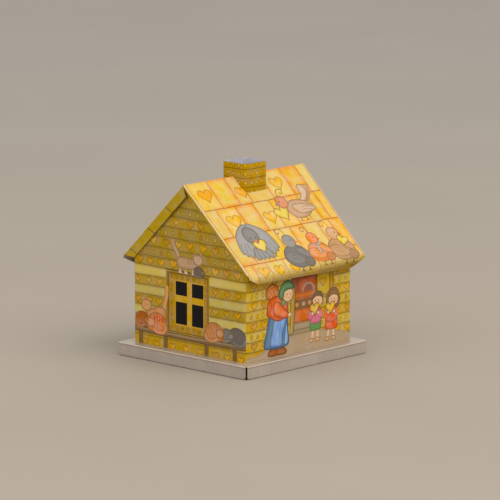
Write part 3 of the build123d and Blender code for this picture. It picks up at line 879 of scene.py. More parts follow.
def walking_cat(art, at, size, coat, flip=1):
    """A cat walking along a ledge with its tail up. at is under its middle, on the ledge."""
    cat = Figure(art, at, size, flip, dark(coat, 0.52))
    paw = (255, 250, 240)
    tail(cat, [(-0.8, 0.92), (-0.98, 1.35), (-1.3, 1.8), (-1.4, 2.12)], 2.3, coat)
    for u, lean in ((-0.66, -0.1), (-0.26, 0.04), (0.44, 0), (0.8, 0.14)):
        leg = cat.put([(u, 0.7), (u + lean * 0.5, 0.36), (u + lean, 0.04)])
        art.pen(leg, 2.6, cat.line, 1)
        art.pen(leg, 1.9, mix(coat, paw, 0.12), 1)
        art.paint(ellipse(cat.spot(u + lean + 0.05, 0.08), 1.3, 0.7, 10), mix(coat, paw, 0.4))
    cat.shape([(-1, 0.62), (-0.94, 1.02), (-0.4, 1.14), (0.3, 1.1), (0.84, 1.02), (0.92, 0.56),
               (0.3, 0.38), (-0.6, 0.34)], coat, 0.45, 0.25, 1.8)
    for u in (0.02, 0.24, 0.46):
        cat.stroke([(u, 1.08), (u + 0.05, 0.86), (u, 0.66)], 0.7, dark(coat, 0.35), steps=3)
    cat_head(cat, (0.9, 1.08), (0.44, 0.38), (0.36, 0.36), coat, mix(coat, (255, 245, 230), 0.1),
             dark(coat, 0.25), 1, (-0.14, 0, 0.14))


def lying_cat(art, at, size, coat, flip=1):
    """A cat lying with its head and its tail up."""
    cat = Figure(art, at, size, flip, dark(coat, 0.52))
    tail(cat, [(0.86, 0.2), (0.92, 0.7), (1.1, 1.4), (1.14, 2.02)], 2.5, mix(coat, (240, 210, 170), 0.2))
    cat.shape([(-0.8, -0.4), (-0.76, 0.2), (-0.2, 0.34), (0.4, 0.56), (0.96, 0.4), (1.06, -0.2),
               (0.8, -0.5)], coat, 0.5, 0.28, 1.6)
    cat_head(cat, (-0.86, 0.5), (0.48, 0.42), (0.44, 0.42), coat, mix(coat, FUR_LIGHT, 0.12),
             dark(coat, 0.28), 1)


# ---- birds of a plain, made-up kind
WARM_BEAK = (214, 120, 60)


def bird_head(art, at, radius, colour, beak, flip):
    head = Figure(art, at, radius, flip, dark(colour, 0.5))
    crest = [(0, 0.9), (-0.1, 1.5), (-0.6, 1.95), (-1.15, 1.75), (-1.1, 1.3), (-0.75, 1.25), (-0.7, 1.55)]
    head.stroke(crest, 0.6, taper=0.8)
    head.oval((0, 0), 1, 0.96, colour, 0.45, 0.16, 1.5, count=20)
    art.drawn(head.put([(0.72, 0.06), (1.36, -0.34), (0.62, -0.46)]), beak, head.line, 0.3)
    art.paint(ellipse(head.spot(0.36, 0.12), 0.5, 0.54, 10), (62, 50, 42))


def bird_legs(bird, places, depth, length, colour=UMBER):
    top = bird.at[1] - bird.size * depth
    for place in places:
        u, foot = bird.spot(place, 0)[0], top - length
        bird.art.pen([(u, top), (u + 0.2, foot)], 0.7, colour, 0.9)
        for reach in (-1.6, 0, 1.6):
            bird.art.pen([(u + 0.2, foot + 0.2), (u + 0.3 + reach, foot - 0.8)], 0.55, colour, 0.7)


def feathers(bird, rows, colour=None):
    for start, end in rows:
        middle = ((start[0] + end[0]) / 2, (start[1] + end[1]) / 2 + 0.07)
        bird.stroke([start, middle, end], 0.4, colour)


def perched_bird(art, at, size, body, wing, head, flip=1, with_heart=False, scarf=None):
    """A round bird sitting with its wings folded. size is half its length."""
    bird = Figure(art, at, size, flip, dark(body, 0.48))
    bird_legs(bird, (-0.16, 0.38), 0.66, 3.6)
    bird.shape([(-0.96, -0.14), (-0.72, 0.42), (-0.1, 0.72), (0.52, 0.62), (0.94, 0.1), (0.8, -0.5),
                (0.1, -0.8), (-0.64, -0.66)], body, 0.5, 0.16, 2.2)
    bird.shape([(0.3, -0.34), (0.84, -0.2), (1.02, -0.56), (0.72, -0.84), (0.34, -0.76)], dark(wing, 0.28),
               0.4, dark(wing, 0.4), 1.2)
    near = [(-0.8, 0.16), (-0.38, 0.3), (0.2, 0.02), (0.44, -0.34), (0.06, -0.58), (-0.52, -0.5),
            (-0.84, -0.18)]
    far = [(0.22, 0.44), (0.66, 0.4), (0.96, 0.04), (0.92, -0.3), (0.6, -0.16), (0.28, 0.12)]
    for fold, shade in ((far, 0), (near, 0.06)):
        bird.shape(fold, dark(wing, shade), 0.4, dark(wing, 0.16), 1.6)
    feathers(bird, [((-0.44, 0.06), (0.08, -0.16)), ((-0.46, -0.16), (0.02, -0.38)),
                    ((0.5, 0.22), (0.8, -0.06))], mix(bird.line, wing, 0.3))
    top = bird.spot(0.08, 0.98)
    if scarf:
        for lean, fall, across, up in ((0.5, 0.4, 0.44, 0.17), (0.2, 0.86, 0.13, 0.36)):
            fold = ellipse((top[0] + lean * flip, top[1] - size * fall), size * across, size * up)
            art.drawn(fold, scarf, bird.line, 0.35)
    bird_head(art, top, size * 0.46, head, WARM_BEAK, flip)
    if with_heart:
        bird.heart((0.46, 0.42), 0.78, -0.35, LEMON, mix(BROWN, LEMON, 0.2), mix(LEMON, GOLD, 0.3), 1.2, 0.45)


def standing_bird(art, at, size, body, wing, head, flip=1):
    """A slim bird standing side on with a raised tail and a heart in its beak."""
    bird = Figure(art, at, size, flip, dark(body, 0.5))
    bird_legs(bird, (-0.2, 0.16), 0.42, 3.4, (92, 96, 84))
    for spread in (0, 0.16, 0.32):
        bird.shape([(0.62, 0.08 + spread * 0.4), (1.16 - spread * 0.2, 0.52 + spread * 0.4),
                    (1.34 - spread, 1.02 + spread * 0.2), (1.06 - spread, 0.98 + spread * 0.2),
                    (0.74 - spread * 0.2, 0.6), (0.36, 0.3)],
                   mix(wing, WHITE, spread * 0.4), 0.4, dark(wing, 0.2), 1.2)
    bird.shape([(-0.62, 0.06), (-0.16, 0.4), (0.42, 0.36), (0.86, 0.1), (0.6, -0.36), (0, -0.54),
                (-0.46, -0.38)], body, 0.5, 0.22, 2)
    bird.shape([(-0.22, 0.16), (0.24, 0.2), (0.86, 0.02), (1.02, -0.14), (0.82, -0.26), (0.2, -0.34),
                (-0.16, -0.16)], wing, 0.45, 0.2, 1.6)
    feathers(bird, [((0.24, -0.02), (0.9, -0.12)), ((0.2, -0.16), (0.8, -0.22))])
    bird.heart((-0.98, -0.16), 0.86, 0.25, LEMON, mix(BROWN, LEMON, 0.3), mix(LEMON, GOLD, 0.4), 1.6)
    bird_head(art, bird.spot(-0.66, 0.4), size * 0.34, head, (160, 140, 130), -flip)


def spread_bird(art, at, size, body, wing):
    """A bird seen from the front with both wings drooping round it, holding a heart."""
    line = dark(body, 0.48)
    bird = Figure(art, at, size, 1, line)
    bird_legs(bird, (-0.4, 0.5333), 0.62, 2.6)
    for flip in (-1, 1):
        arm = Figure(art, at, size, flip, line)
        arm.shape([(0, 0.78), (0.4, 0.72), (0.8, 0.36), (0.98, -0.16), (0.98, -0.46), (0.88, -0.44),
                   (0.84, -0.6), (0.72, -0.56), (0.62, -0.7), (0.48, -0.6), (0.34, -0.4), (0.1, -0.2)],
                  wing, 0.5, 0.16, 2.6)
        feathers(arm, [((0.9, -0.36), (0.78, 0.02)), ((0.72, -0.44), (0.62, -0.02)),
                       ((0.54, -0.42), (0.46, 0))])
    for lean in (-0.34, -0.12, 0.12, 0.34):
        bird.shape([(lean * 0.6 - 0.12, -0.3), (lean - 0.14, -0.7), (lean, -0.84), (lean + 0.14, -0.7),
                    (lean * 0.6 + 0.12, -0.3)], mix(body, WHITE, 0.1), 0.4, dark(body, 0.2), 1)
    bird.oval((-0.04, 0.3), 0.38, 0.4, dark(body, 0.06), 0.5, dark(body, 0.28), 2.2, count=24)
    crown = bird.spot(-0.04, 0.3)
    for side in (-1, 1):
        eye = (crown[0] + side * size * 0.15 + 0.6, crown[1] - size * 0.12)
        art.paint(ellipse(eye, 0.5, 0.56, 10), (62, 52, 48))
    bird.heart((0.14, -0.24), 0.66, 0.12, LEMON, mix(BROWN, LEMON, 0.2), mix(LEMON, GOLD, 0.3), 1.4)
    beak = turned([(-0.1, 0.02), (0.12, 0.02), (0.02, -0.2)], (crown[0] + 1, crown[1] - size * 0.24), size)
    art.drawn(beak, (222, 120, 66), line, 0.3)


# ---- people of a plain, made-up kind
def plain_face(art, at, size):
    """Two dots, rosy cheeks and a small calm mouth."""
    for side in (-1, 1):
        cheek = ellipse((at[0] + side * size * 0.56, at[1] - size * 0.22), size * 0.22, size * 0.18, 10)
        art.paint(cheek, mix(SKIN_TONE, SCARLET, 0.3))
        art.paint(ellipse((at[0] + side * size * 0.34, at[1] + size * 0.08), 0.42, 0.5, 10), UMBER)
    mouth = turned([(-0.22, -0.4), (0, -0.48), (0.22, -0.4)], at, size)
    art.pen(smooth(mouth, False), 0.34, (160, 84, 66))


def basket(person, at):
    """A woven basket: a round tub with strands that cross."""
    person.oval(at, 6.2, 5.4, (196, 116, 56), 0.42, (150, 84, 40), 1.8, count=22)
    for lean in (-0.6, -0.2, 0.2, 0.6):
        for turn, colour in ((0.6, (208, 134, 74)), (0.6 + math.pi / 2, (156, 90, 42))):
            strand = turned([(-0.72, lean), (0, lean * 1.2), (0.72, lean)], person.spot(*at), 5.2, turn)
            person.art.pen(smooth(strand, False, 3), 0.5, colour, 0.6)


def grown_up(art, at):
    """A grown-up in a head scarf, a jacket and an apron, with a basket on the back."""
    person = Figure(art, at)
    navy, seam = (70, 88, 116), (140, 58, 32)
    green, moss = (104, 142, 92), (52, 78, 50)
    basket(person, (-4.5, 40))
    for u in (-3.6, 3.6):
        person.shape([(u - 4.2, 0.2), (u - 4, 3.4), (u, 4.6), (u + 4, 3.2), (u + 4.4, 0.2)],
                     (158, 92, 46), 0.42, (116, 66, 36), 1.2)
    person.shape([(-6.5, 25.5), (-9.5, 17), (-12, 6.4), (-6, 4.6), (3, 4.4), (10.2, 6), (10, 14),
                  (9, 22.5), (4, 25.5)], (92, 122, 146), 0.45, (66, 92, 122), 2.4, (62, 74, 92))
    person.shape([(-1.5, 24.4), (-4.4, 16), (-6.2, 7), (-1, 5.6), (4, 6.2), (5, 14), (7.8, 23.4)],
                 (124, 158, 206), 0.45, (98, 130, 180), 2.2, navy)
    for foot, top in ((-2.6, 1.2), (1.4, 3.6)):
        person.stroke([(foot, 7.2), (foot + 0.8, 14), (top, 21.5)], 0.6, (96, 124, 168))
    person.shape([(6.6, 7), (9.4, 7.4), (9.2, 15), (8.2, 19)], (132, 164, 208), 0.4, line=navy)
    person.shape([(-9.4, 29.5), (-8.2, 34.5), (-2.5, 37.2), (4, 36.2), (9, 32), (9.6, 26.5), (7, 22.8),
                  (0.5, 21.4), (-5.8, 24), (-9.2, 26)], SCARLET, 0.45, (172, 70, 34), 2.6)
    person.stroke([(-7.4, 26.6), (-5.2, 30.5), (-5.8, 34.4)], 0.5, seam)
    person.shape([(-3.4, 32.6), (1.2, 33.4), (6.5, 28.6), (10.2, 25.2), (9, 22.6), (4, 23), (-2.6, 26)],
                 mix(SCARLET, (240, 150, 100), 0.3), 0.5, (186, 80, 42), 1.8, seam)
    person.oval((11.4, 24), 1.7, 1.5, SKIN_TONE, 0.35, count=12)
    person.oval((9.6, 37.2), 4.9, 4.9, SKIN_TONE, 0.42, mix(SKIN_TONE, RUST, 0.3), 1.4, count=20)
    plain_face(art, person.spot(10.3, 36.7), 4.2)
    person.shape([(2.6, 34.6), (1.8, 39.5), (4.6, 44.2), (9.8, 45.9), (14.2, 43), (14.8, 40.4), (10, 40.2),
                  (6.4, 39), (5.4, 35.4)], green, 0.5, (66, 104, 62), 1.8, moss)
    person.oval((5.6, 32.2), 2, 1.7, green, 0.4, line=moss, count=12)


def child(art, at, hair, top, lower, skirt=False):
    """A child holding up a heart-shaped biscuit. at is between the feet."""
    person = Figure(art, at)
    lower_line, hair_line = dark(lower, 0.5), dark(hair, 0.6)
    for side, foot in ((-1, -3.4), (1, 2.6)):
        leg = person.put([(side * 2, 9), (foot * 0.8, 4.5), (foot, 1.6)])
        art.pen(leg, 2.3, dark(SKIN_TONE, 0.35), 1)
        art.pen(leg, 1.6, SKIN_TONE, 1)
        person.oval((foot - 0.5, 1.2), 2.2, 1.3, (196, 152, 104), 0.35, count=12)
    skirt_shape = [(-3.6, 19.5), (-5.6, 8.2), (0, 7), (5.6, 8), (4.6, 19.5)]
    trousers = [(-4.4, 13.6), (-4.6, 7.6), (-0.2, 7.2), (4.6, 7.8), (4.4, 13.6)]
    person.shape(skirt_shape if skirt else trousers, lower, 0.45, 0.25, 1.5, lower_line)
    if not skirt:
        art.pen(person.put([(0, 7.6), (0.1, 11)]), 0.4, lower_line)
    person.shape([(-3.6, 21.4), (-4.8, 15), (-4.4, 12.4), (0.4, 11.4), (4.8, 12.4), (5, 16), (4.4, 21)],
                 top, 0.45, 0.22, 1.6, dark(top, 0.55))
    if skirt:
        person.shape([(-3.8, 22), (-4, 29), (0, 33), (4.6, 32.6), (7.6, 28), (7.6, 22.5), (5.4, 20.8)],
                     hair, 0.5, 0.35, 1.6, hair_line)
    person.oval((2, 26), 4.7, 4.5, SKIN_TONE, 0.45, mix(SKIN_TONE, RUST, 0.25), 1.2, count=20)
    plain_face(art, person.spot(1.4, 25.7), 4)
    person.shape([(-2.8, 26.8), (-1.6, 30.4), (2.4, 31.8), (6.2, 30.2), (7.2, 25.4), (5.6, 27.8), (2, 28.8),
                  (-0.6, 28.2)], hair, 0.4, 0.3, 1.2, hair_line)
    person.heart((-0.6, 20.6), 8.8, 0.1, (214, 176, 66), BROWN, (190, 148, 40), 1.4)
    for side in (-1, 1):
        arm = [(side * 4.6, 19.2), (side * 5.4, 15.6), (side * 2.8 + 0.2, 17.2)]
        person.stroke(arm, 2.9, dark(top, 0.55), 0.9, 3)
        person.stroke(arm, 2.2, mix(top, (255, 230, 200), 0.12), 0.9, 3)
        person.oval((side * 2.6, 18), 1.3, 1.2, SKIN_TONE, 0.3, count=10)


# ---- the doorway and its surroundings
def doorway(art, left, right, low, high):
    """An open door with a warm room behind it: an arch, shelves with plates and two grey steps."""
    art.drawn(rectangle(left, right, low, high), (176, 92, 44), UMBER, 0.5, (136, 64, 32), 2.4)
    art.paint(rectangle(left + 0.6, right - 0.4, high - 9.5, high - 0.4), (180, 88, 42), (142, 66, 32), 1.8)
    art.paint(rectangle(left + 0.6, left + 8, high - 9.5, high - 0.4), (136, 76, 46), (156, 78, 46), 3)
    middle = ((left + right) / 2 + 4.2, high - 9.6)
    arch = turned([(math.cos(a), math.sin(a)) for a in np.linspace(0, math.pi, 14)], middle, 5)
    art.paint(arch, (138, 82, 62))
    art.pen(arch, 1.3, (156, 134, 112), 0.8)
    for bottom, top, colour in ((high - 13, high - 10.2, (190, 106, 50)),
                                (high - 19.8, high - 14.4, (122, 90, 58)),
                                (low + 7.6, high - 20.4, (194, 100, 38))):
        shelf = rectangle(left + 0.8, right - 0.6, bottom, top)
        art.drawn(shelf, colour, dark(colour, 0.6), 0.4, dark(colour, 0.22), 1.2)
    for u in (left + 5.5, left + 11.5, left + 17):
        art.drawn(ellipse((u, high - 17.2), 2, 1.9, 14), (168, 118, 74), UMBER, 0.35)
        art.paint(ellipse((u, high - 17.2), 1, 0.9, 10), (190, 140, 90))
    for bottom, top, shade in ((low, low + 2.6, 0), (low + 2.8, low + 6.8, 0.14)):
        stone = mix((152, 134, 104), (196, 180, 150), shade)
        step = rectangle(left + 0.4, right - 0.2, bottom, top)
        art.drawn(step, stone, dark(stone, 0.5), 0.4, dark(stone, 0.2), 1)
    leaf = [(left - 1.2, low - 0.5), (left + 2.4, low + 1.4), (left + 3.4, low + 12),
            (left + 3.8, high - 9), (left + 2.6, high - 4), (left + 0.4, high - 6), (left - 0.8, low + 12)]
    art.drawn(leaf, (178, 146, 62), UMBER, 0.5, (142, 108, 40), 1.2)
    art.pen([(left + 1.6, low + 2), (left + 2, high - 8)], 0.4, (122, 92, 40), 0.9)


def ground(art, points):
    art.paint(smooth(points, steps=3), PATH, mix(PATH, BROWN, 0.2), 1.6)
    for _ in range(16):
        at = (art.rng.uniform(-44, 44), art.rng.uniform(9, 15.5))
        end = (at[0] + art.rng.uniform(2, 5), at[1] + art.rng.uniform(-0.3, 0.3))
        art.pen([at, end], 0.3, mix(PATH, BROWN, 0.35))


def flower(art, at, size, colour):
    art.pen(smooth([(at[0], at[1] - size * 2.6), (at[0] + 0.5, at[1] - size), at], False), 0.6, (96, 120, 50))
    leaf = turned([(0, -1.7), (0.9, -1.1), (1.3, -1.9), (0.5, -2.1)], at, size)
    art.drawn(smooth(leaf, steps=3), (120, 144, 62), (76, 92, 40), 0.3)
    for index in range(5):
        angle = index * 2 * math.pi / 5 + 0.3
        petal = (at[0] + size * 0.52 * math.cos(angle), at[1] + size * 0.52 * math.sin(angle))
        art.drawn(ellipse(petal, size * 0.42, size * 0.42, 12), colour, dark(colour, 0.5), 0.3)
    art.paint(ellipse(at, size * 0.34, size * 0.34, 12), LEMON)


# ---- the four walls
BLANK = (None, (), 0)


def hearts(places, size=HEART_SIZE):
    return "hearts", places, size


def drops(places):
    return "drops", places, DROP_SIZE


def new_wall(gable, seed, rows, seam=NO_SEAM):
    art = Art(wall_outline(gable), PLAIN, seed)
    crease_tube(art, WALL_HALF, WALL_CORNER_R, PRINT_FOOT, RIDGE_Z, seam)
    planks(art, rows)
    return art


def yellow_rows(first, heart_row, drop_row):
    """The rows of a long wall: above the first, rows of hearts and of drops take turns."""
    rows = [(GOLD_ROW, *first)]
    for level in range(1, len(PLANK_LEVELS) - 1):
        odd = level % 2
        rows.append((DOOR_ROW, *heart_row) if odd else (mix(DOOR_ROW, PLAIN, 0.5), *drop_row))
    return rows


def window_gable():
    lower = hearts([-44, -34.5, -25.5, 23.2, 32.6, 41.5], 5.4)
    rows = [
        (GOLD_ROW, *hearts([-38, -28.5, -14, -3, 9, 23.5, 33, 44])), (STRAW, *BLANK), (PLAIN, *BLANK),
        (PLAIN, *BLANK), (STRAW, *lower), (PLAIN, *BLANK), (STRAW, *lower), (PLAIN, *BLANK),
        (STRAW, *hearts([-42.5, -33.5, -24, -13, 13.5, 22.5, 32, 42], 6)),
        (OLIVE, *drops([-40, -34.5, -29.5, -23.5, -16.5, 16.5, 22.5, 29.5, 35, 40.5])),
        (STRAW, *hearts([u + 1.5 for u in every(10.5, 0, 40)], 6.2)),
        (OLIVE, *drops(every(6, 4.4, WALL_REACH))),
        (STRAW, *hearts([-10.5, 1.5, 11], 5.8)), (OLIVE, *drops([-9, -3.5, 1.5, 7.5])), (STRAW, *BLANK),
    ]
    art = new_wall(True, 3, rows)
    small_heart(art, (1.4, 104.4), 5.2)
    bench(art, -47, 47, 19.8, (-41.5, -20, 15.2, 39.2))
    window(art, -17.5, 16.5, 19.8, 57)
    walking_cat(art, (-0.5, 57.6), 9.4, (184, 148, 112))
    curled_cat(art, (9, 60.4), 4.6, (110, 98, 82), -1)
    lying_cat(art, (-29, 29), 9, (198, 136, 80))
    curled_cat(art, (-40, 24.4), 6.6, (172, 98, 44), -1)
    curled_cat(art, (-28, 23.6), 8.6, (208, 128, 76), 1, (196, 66, 38))
    curled_cat(art, (40.5, 24.2), 7.6, (104, 98, 92), 1)
    curled_cat(art, (32.6, 24), 5.6, (122, 118, 112), -1)
    curled_cat(art, (22, 24.6), 8.2, (194, 126, 72), -1)
    return art


def door_wall():
    heart_row = hearts(every(9.5, -41.5, WALL_REACH))
    art = new_wall(False, 0, yellow_rows(BLANK, heart_row, drops(every(5.4, -38.5, WALL_REACH))))
    art.drawn(rectangle(15.8, 31, 41, 57), (194, 156, 22), BROWN, 0.5, (160, 122, 16), 2.4)
    small_heart(art, (21.4, 49.6), 6.6, (180, 134, 12))
    art.drawn(rectangle(27.2, 31, 41, 57), (172, 126, 16), BROWN, 0.4, (146, 104, 14), 1.2)
    ground(art, [(-50, 5), (-50, 10.5), (-38, 12), (-28, 15), (-10, 20), (15, 20.3), (30, 18.5), (45, 14.5),
                 (51, 13), (51, 5)])
    doorway(art, -8, 15.4, 20, 55.6)
    grown_up(art, (-20.5, 9.4))
    child(art, (14.4, 12.8), (112, 92, 66), (198, 96, 122), (92, 138, 72))
    child(art, (29, 11.6), (142, 102, 52), (214, 92, 48), (214, 92, 48), True)
    return art


def rear_wall():
    heart_row = hearts(every(9.6, 4.8, WALL_REACH))
    rows = yellow_rows(heart_row, heart_row, drops(every(5.8, 2.9, WALL_REACH)))
    art = new_wall(False, 2, rows, LOCK_SEAM)
    ground(art, [(-51, 5), (-51, 13), (-30, 12.2), (0, 13.4), (30, 12), (51, 13.4), (51, 5)])
    for left in (-33, 5):
        window(art, left, left + 25, 24, 51)
    for index, u in enumerate((-42, -37.5, -3.4, 1.2, 43.6)):
        flower(art, (u, 19.5 + 2 * (index % 2)), 2.4, (SCARLET, ROSE, (226, 196, 90))[index % 3])
    walking_cat(art, (-19.5, 12.4), 7.2, (182, 142, 104), -1)
    curled_cat(art, (19, 16.6), 7.6, (122, 118, 112))
    return art


def far_gable():
    heart_row = (STRAW, *hearts(every(9.6, 0, WALL_REACH)))
    drop_row = (OLIVE, *drops(every(6, 3, WALL_REACH)))
    lower = [(GOLD_ROW, *heart_row[1:])] + [heart_row, (PLAIN, *BLANK)] * 3
    rows = lower + [heart_row] + [heart_row, drop_row] * 4
    art = new_wall(True, 1, rows)
    for left in (-37, 10):
        window(art, left, left + 27, 22, 52)
    window(art, -11, 11, 62, 86)
    bench(art, -47, 47, 18.6, (-40, -14, 14, 40))
    lying_cat(art, (0.5, 24.4), 8, (178, 116, 64), -1)
    curled_cat(art, (-24, 22.6), 8, (158, 92, 42), -1)
    curled_cat(art, (31, 22.4), 7.4, (150, 146, 138))
    return art


# ---- roof
TILE_ROWS = (0, -22, -44, -66, -ROOF_V - 1)
TILE_COLOURS = ((236, 208, 112), (238, 202, 104), (236, 212, 78), (244, 200, 76), (247, 196, 84),
                (240, 206, 108))


def tile(art, left, right, low, high, colour, glow):
    sway = lambda: art.rng.uniform(-0.35, 0.35)
    corners = [(left + sway(), low), (right + sway(), low), (right + sway(), high), (left + sway(), high)]
    warm = glow or art.rng.random() < 0.35
    edge = mix(colour, (242, 152, 62) if warm else (226, 168, 88), 1 if glow else 0.8)
    art.paint(corners, colour, edge, 5 if glow else 3.4 if warm else 2)


def eave_shade(art, left, right):
    """A tile of the last row darkens as it curls under, more so towards the right."""
    share = 0.62 + 0.38 * (left + right) / (2 * ROOF_HALF)
    for level, amount in ((0.4, 0.28), (2.2, 0.5), (3.8, 0.72), (5.4, 0.9)):
        colour = shifted(mix((240, 206, 122), (156, 122, 32), amount * share), art.rng, 5)
        art.paint(rectangle(left, right, -ROOF_V - 1, -CURL_V - level), colour)


def tiles(art, joints, glowing):
    """Rows of painted tiles; joints gives each row's upright joints, glowing the orange-edged tiles."""
    rows = [(high, low, [-ROOF_U[1] - 1, *row, ROOF_U[1] + 1])
            for high, low, row in zip(TILE_ROWS, TILE_ROWS[1:], joints)]
    for index, (high, low, edges) in enumerate(rows):
        for place, (left, right) in enumerate(zip(edges, edges[1:])):
            colour = TILE_COLOURS[art.rng.randrange(len(TILE_COLOURS))]
            tile(art, left, right, low, high, shifted(colour, art.rng, 6), (index, place) in glowing)
            if low < -CURL_V:
                eave_shade(art, left, right)
    for high, low, edges in rows:
        for u in edges[1:-1]:
            path = [(u + art.rng.uniform(-0.4, 0.4), v) for v in np.linspace(low, high, 5)]
            art.pen(path, 0.42, TILE_LINE, 0.9)
        if high < 0:
            along = np.linspace(-ROOF_HALF, ROOF_HALF, 16)
            line = [(u, high + art.rng.uniform(-0.25, 0.25)) for u in along]
            art.pen(smooth(line, False, 3), 0.5, mix(TILE_LINE, BROWN, 0.2), 1)


def roof_heart(art, at, width):
    colour = (248, 178, 50) if art.rng.random() < 0.5 and at[1] > -60 else (248, 200, 76)
    shape = heart(at, width, art.rng.uniform(-0.1, 0.1), 30)
    art.drawn(shape, colour, mix(BROWN, colour, 0.48), 0.42, mix(colour, (238, 156, 36), 0.5), 2.6)


def roof_border(art, side):
    """The printed borders: verge flanges with tile lines, and a pale strip along each fold, painted highlight
    that is partly a worn edge.
    """
    near, fold, far = VERGE_U[side] - 0.6, VERGE_U[side] + 0.9, ROOF_U[side] + 2
    for end in (-1, 1):
        low_end = lambda u: (end * (u - END_SLIP), -CURL_V)
        strip = lambda inner, outer, top: [(end * inner, top), (end * outer, top),
                                           low_end(outer), low_end(inner)]
        # pale strip along the fold: painted highlight, partly worn edge
        art.paint(strip(near, fold, 1), (240, 204, 140))
        art.pen([(end * near, 0), low_end(near), (end * (near - END_SLIP), -ROOF_V)], 0.5, TILE_LINE, 1)
        art.paint(strip(fold, far, 2), VERGE, mix(VERGE, BROWN, 0.4), 1)
        for v in TILE_ROWS[1:4]:
            art.pen([(end * (fold - taper_slip(v)), v), (end * far, v)], 0.6, mix(BROWN, VERGE, 0.2), 1)


def new_slope(side, joints, glowing, seed):
    art = Art(roof_outline(side), TILE_COLOURS[0], seed)
    strip = ROOF_HALF - VERGE_STRIP
    for u in arc_steps(VERGE_U[side], VERGE_FLANGE_U[side]) + [strip, strip + SEAM_WALL]:
        for end in (-1, 1):
            art.crease([(end * u, 0), (end * (u - END_SLIP), -CURL_V)])
    for v in arc_steps(-CURL_V, -FLANGE_V) + arc_steps(0, -RIDGE_ARC, 3):
        art.crease([(-ROOF_HALF, v), (ROOF_HALF, v)])
    tiles(art, joints, glowing)
    roof_border(art, side)
    chimney = (ROOF_X - CHIMNEY_X) * side
    way_down = COIN_WAY_HALF / math.cos(PITCH) - RIDGE_FLAT + RIDGE_ARC
    art.cut(rectangle(chimney - COIN_WAY_HALF, chimney + COIN_WAY_HALF, -way_down, 1))
    return art


def front_slope():
    joints = ((-35.5, -19.5, -8.5, 11, 30.5, 45.5), (-43, -26, -10.5, 4.5, 18, 30, 38, 46),
              (-38, -22, -8, 6, 18, 31.5, 42), (-44.5, -32, -17.5, -3, 11, 25, 39))
    art = new_slope(-1, joints, {(0, 1), (0, 5), (1, 2), (1, 7), (2, 0)}, 9)
    for u, v, width in ((-43, -11.2, 11.6), (-12, -13.2, 10.4), (21, -11.4, 11.4), (-34, -33.4, 12),
                        (-2.5, -35, 11), (-38, -73, 9.2), (-24, -73.6, 9.2), (-10, -74, 8)):
        roof_heart(art, (u, v), width)
    spread_bird(art, (-28.5, -50), 16.5, GREY, mix(GREY, (235, 232, 225), 0.25))
    standing_bird(art, (24, -31.5), 15, (216, 172, 132), (224, 184, 144), (228, 150, 98))
    perched_bird(art, (-2.6, -65.4), 11.4, (130, 126, 122), (142, 138, 134), (160, 156, 150))
    perched_bird(art, (37.4, -66.2), 11.4, TAN, (214, 166, 118), (226, 172, 120), with_heart=True)
    perched_bird(art, (18, -65.4), 10.2, ORANGE, (250, 164, 94), (250, 142, 70), scarf=(190, 180, 166))
    return art


def rear_slope():
    joints = ((-44, -27, -12, 12, 28, 43), (-36, -20, -4, 10, 24, 40), (-46, -30, -14, 2, 18, 33, 46),
              (-38, -22, -6, 9, 25, 40))
    art = new_slope(1, joints, {(0, 2), (1, 4), (2, 1)}, 12)
    for u, v, width in ((-35.5, -11, 11.4), (20, -11.6, 11.2), (-28, -33, 11.8), (32, -33.4, 11.6),
                        (-38, -55, 11), (39, -55.4, 10.8), (-12, -73, 9), (17, -73.4, 9)):
        roof_heart(art, (u, v), width)
    perched_bird(art, (-17, -55.5), 10.6, TAN, (212, 170, 126), (222, 172, 120), with_heart=True)
    perched_bird(art, (6, -55.5), 10.2, (140, 134, 126), (152, 146, 138), (164, 160, 150), -1)
    standing_bird(art, (4, -32), 12.5, (216, 172, 132), (224, 184, 144), (228, 150, 98), -1)
    return art


# ---- chimney
CHIMNEY_ROWS = (102.2, 108, 113.8, 119.5, 125.3)


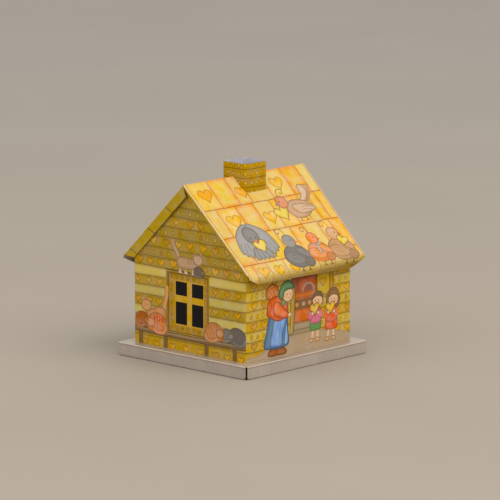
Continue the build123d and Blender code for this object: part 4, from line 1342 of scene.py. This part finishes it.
def chimney_side(face):
    """The artwork of one side: rows of small rings down to the roof, and where it goes."""
    reach = tube_reach(CHIMNEY_HALF, CHIMNEY_CORNER_R)
    seam = CHIMNEY_SEAM if face == 2 else NO_SEAM
    place = tube_place(CHIMNEY_HALF, CHIMNEY_CORNER_R, face, CHIMNEY_X, seam)
    foot = lambda u: RIDGE_Z - math.tan(PITCH) * abs(place(u, 0)[1]) + TRIM
    outline = [(u, foot(u)) for u in np.linspace(-reach, reach, 25)]
    art = Art(outline + [(reach, CHIMNEY_TOP - TRIM), (-reach, CHIMNEY_TOP - TRIM)], CHIMNEY_GOLD, 20 + face)
    crease_tube(art, CHIMNEY_HALF, CHIMNEY_CORNER_R, CHIMNEY_ROWS[0], CHIMNEY_TOP, seam)
    for low, high in zip(CHIMNEY_ROWS, CHIMNEY_ROWS[1:]):
        band = np.vstack([wavy(art, low, reach + 1, 0.15), wavy(art, high, reach + 1, 0.15)[::-1]])
        art.paint(band, shifted(CHIMNEY_GOLD, art.rng, 5), mix(CHIMNEY_GOLD, BROWN, 0.25), 1)
        middle = min((low + high) / 2, CHIMNEY_TOP - 1.2)
        for u in np.linspace(-reach, reach, 5):
            at = (u, middle + art.rng.uniform(-0.25, 0.25))
            size = art.rng.uniform(0.88, 1.06)
            art.paint(ellipse(at, 1.15 * size, 1.5 * size, 16), (124, 88, 8))
            art.paint(ellipse(at, 0.88 * size, 1.2 * size, 14), (192, 148, 12))
            art.paint(ellipse(at, 0.36, 0.55, 10), (214, 176, 52))
    for low in CHIMNEY_ROWS[1:-1]:
        art.pen(wavy(art, low, reach + 1, 0.15), 0.4, (128, 92, 10), 1)
    return art, place


# ---- the scene
def show(piece):
    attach(piece, "house")


bpy.context.scene.view_settings.view_transform = "Standard"
make_camera()
make_stage()

wall_ink = print_material("wall_ink", 0.07, 0.025, 0.04)
for face, wall in enumerate((door_wall, far_gable, rear_wall, window_gable)):
    place = tube_place(WALL_HALF, WALL_CORNER_R, face, seam=LOCK_SEAM if face == 2 else NO_SEAM)
    show(wall().skin(wall.__name__ + "_print", place, wall_ink, WALL_LIGHT))

roof_ink = print_material("roof_ink", 0.06, 0.02, 0.04)
for side, slope in ((-1, front_slope), (1, rear_slope)):
    show(slope().skin(slope.__name__ + "_print", roof_place(side), roof_ink, ROOF_LIGHT))

chimney_ink = print_material("chimney_ink", 0.08, 0.03, 0, 0.03)
for face, name in enumerate(("front", "right", "rear", "left")):
    art, place = chimney_side(face)
    show(art.skin(f"chimney_{name}_print", place, chimney_ink, WALL_LIGHT))

# The bare tin inside is one tinplate throughout, but its tone differs per sheet as painted light and shade:
# darkest for the enclosed walls, lighter for the roof, where it brightens the shadowed ends of the eave
# curls, and lightest for the chimney, lit through its open top.
metals = {
    "wall_wrap": tin_material("wall_tin", (150, 148, 146), (170, 140, 60), (0, 0, 50)),
    "roof": tin_material("roof_tin", (206, 203, 204), (180, 140, 60), (0, 0, 60)),
    "chimney": tin_material("chimney_tin", (222, 220, 228), (160, 120, 20), (CHIMNEY_X, 0, 118)),
    "base_tray": tray_material(),
    "trap_cover": bare_metal("cover_tin", (176, 174, 170), 0.36),
    "trap_rivet": bare_metal("rivet_steel", (188, 182, 172), 0.28),
}
for node, metal in metals.items():
    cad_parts[node].data.materials.clear()
    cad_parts[node].data.materials.append(metal)
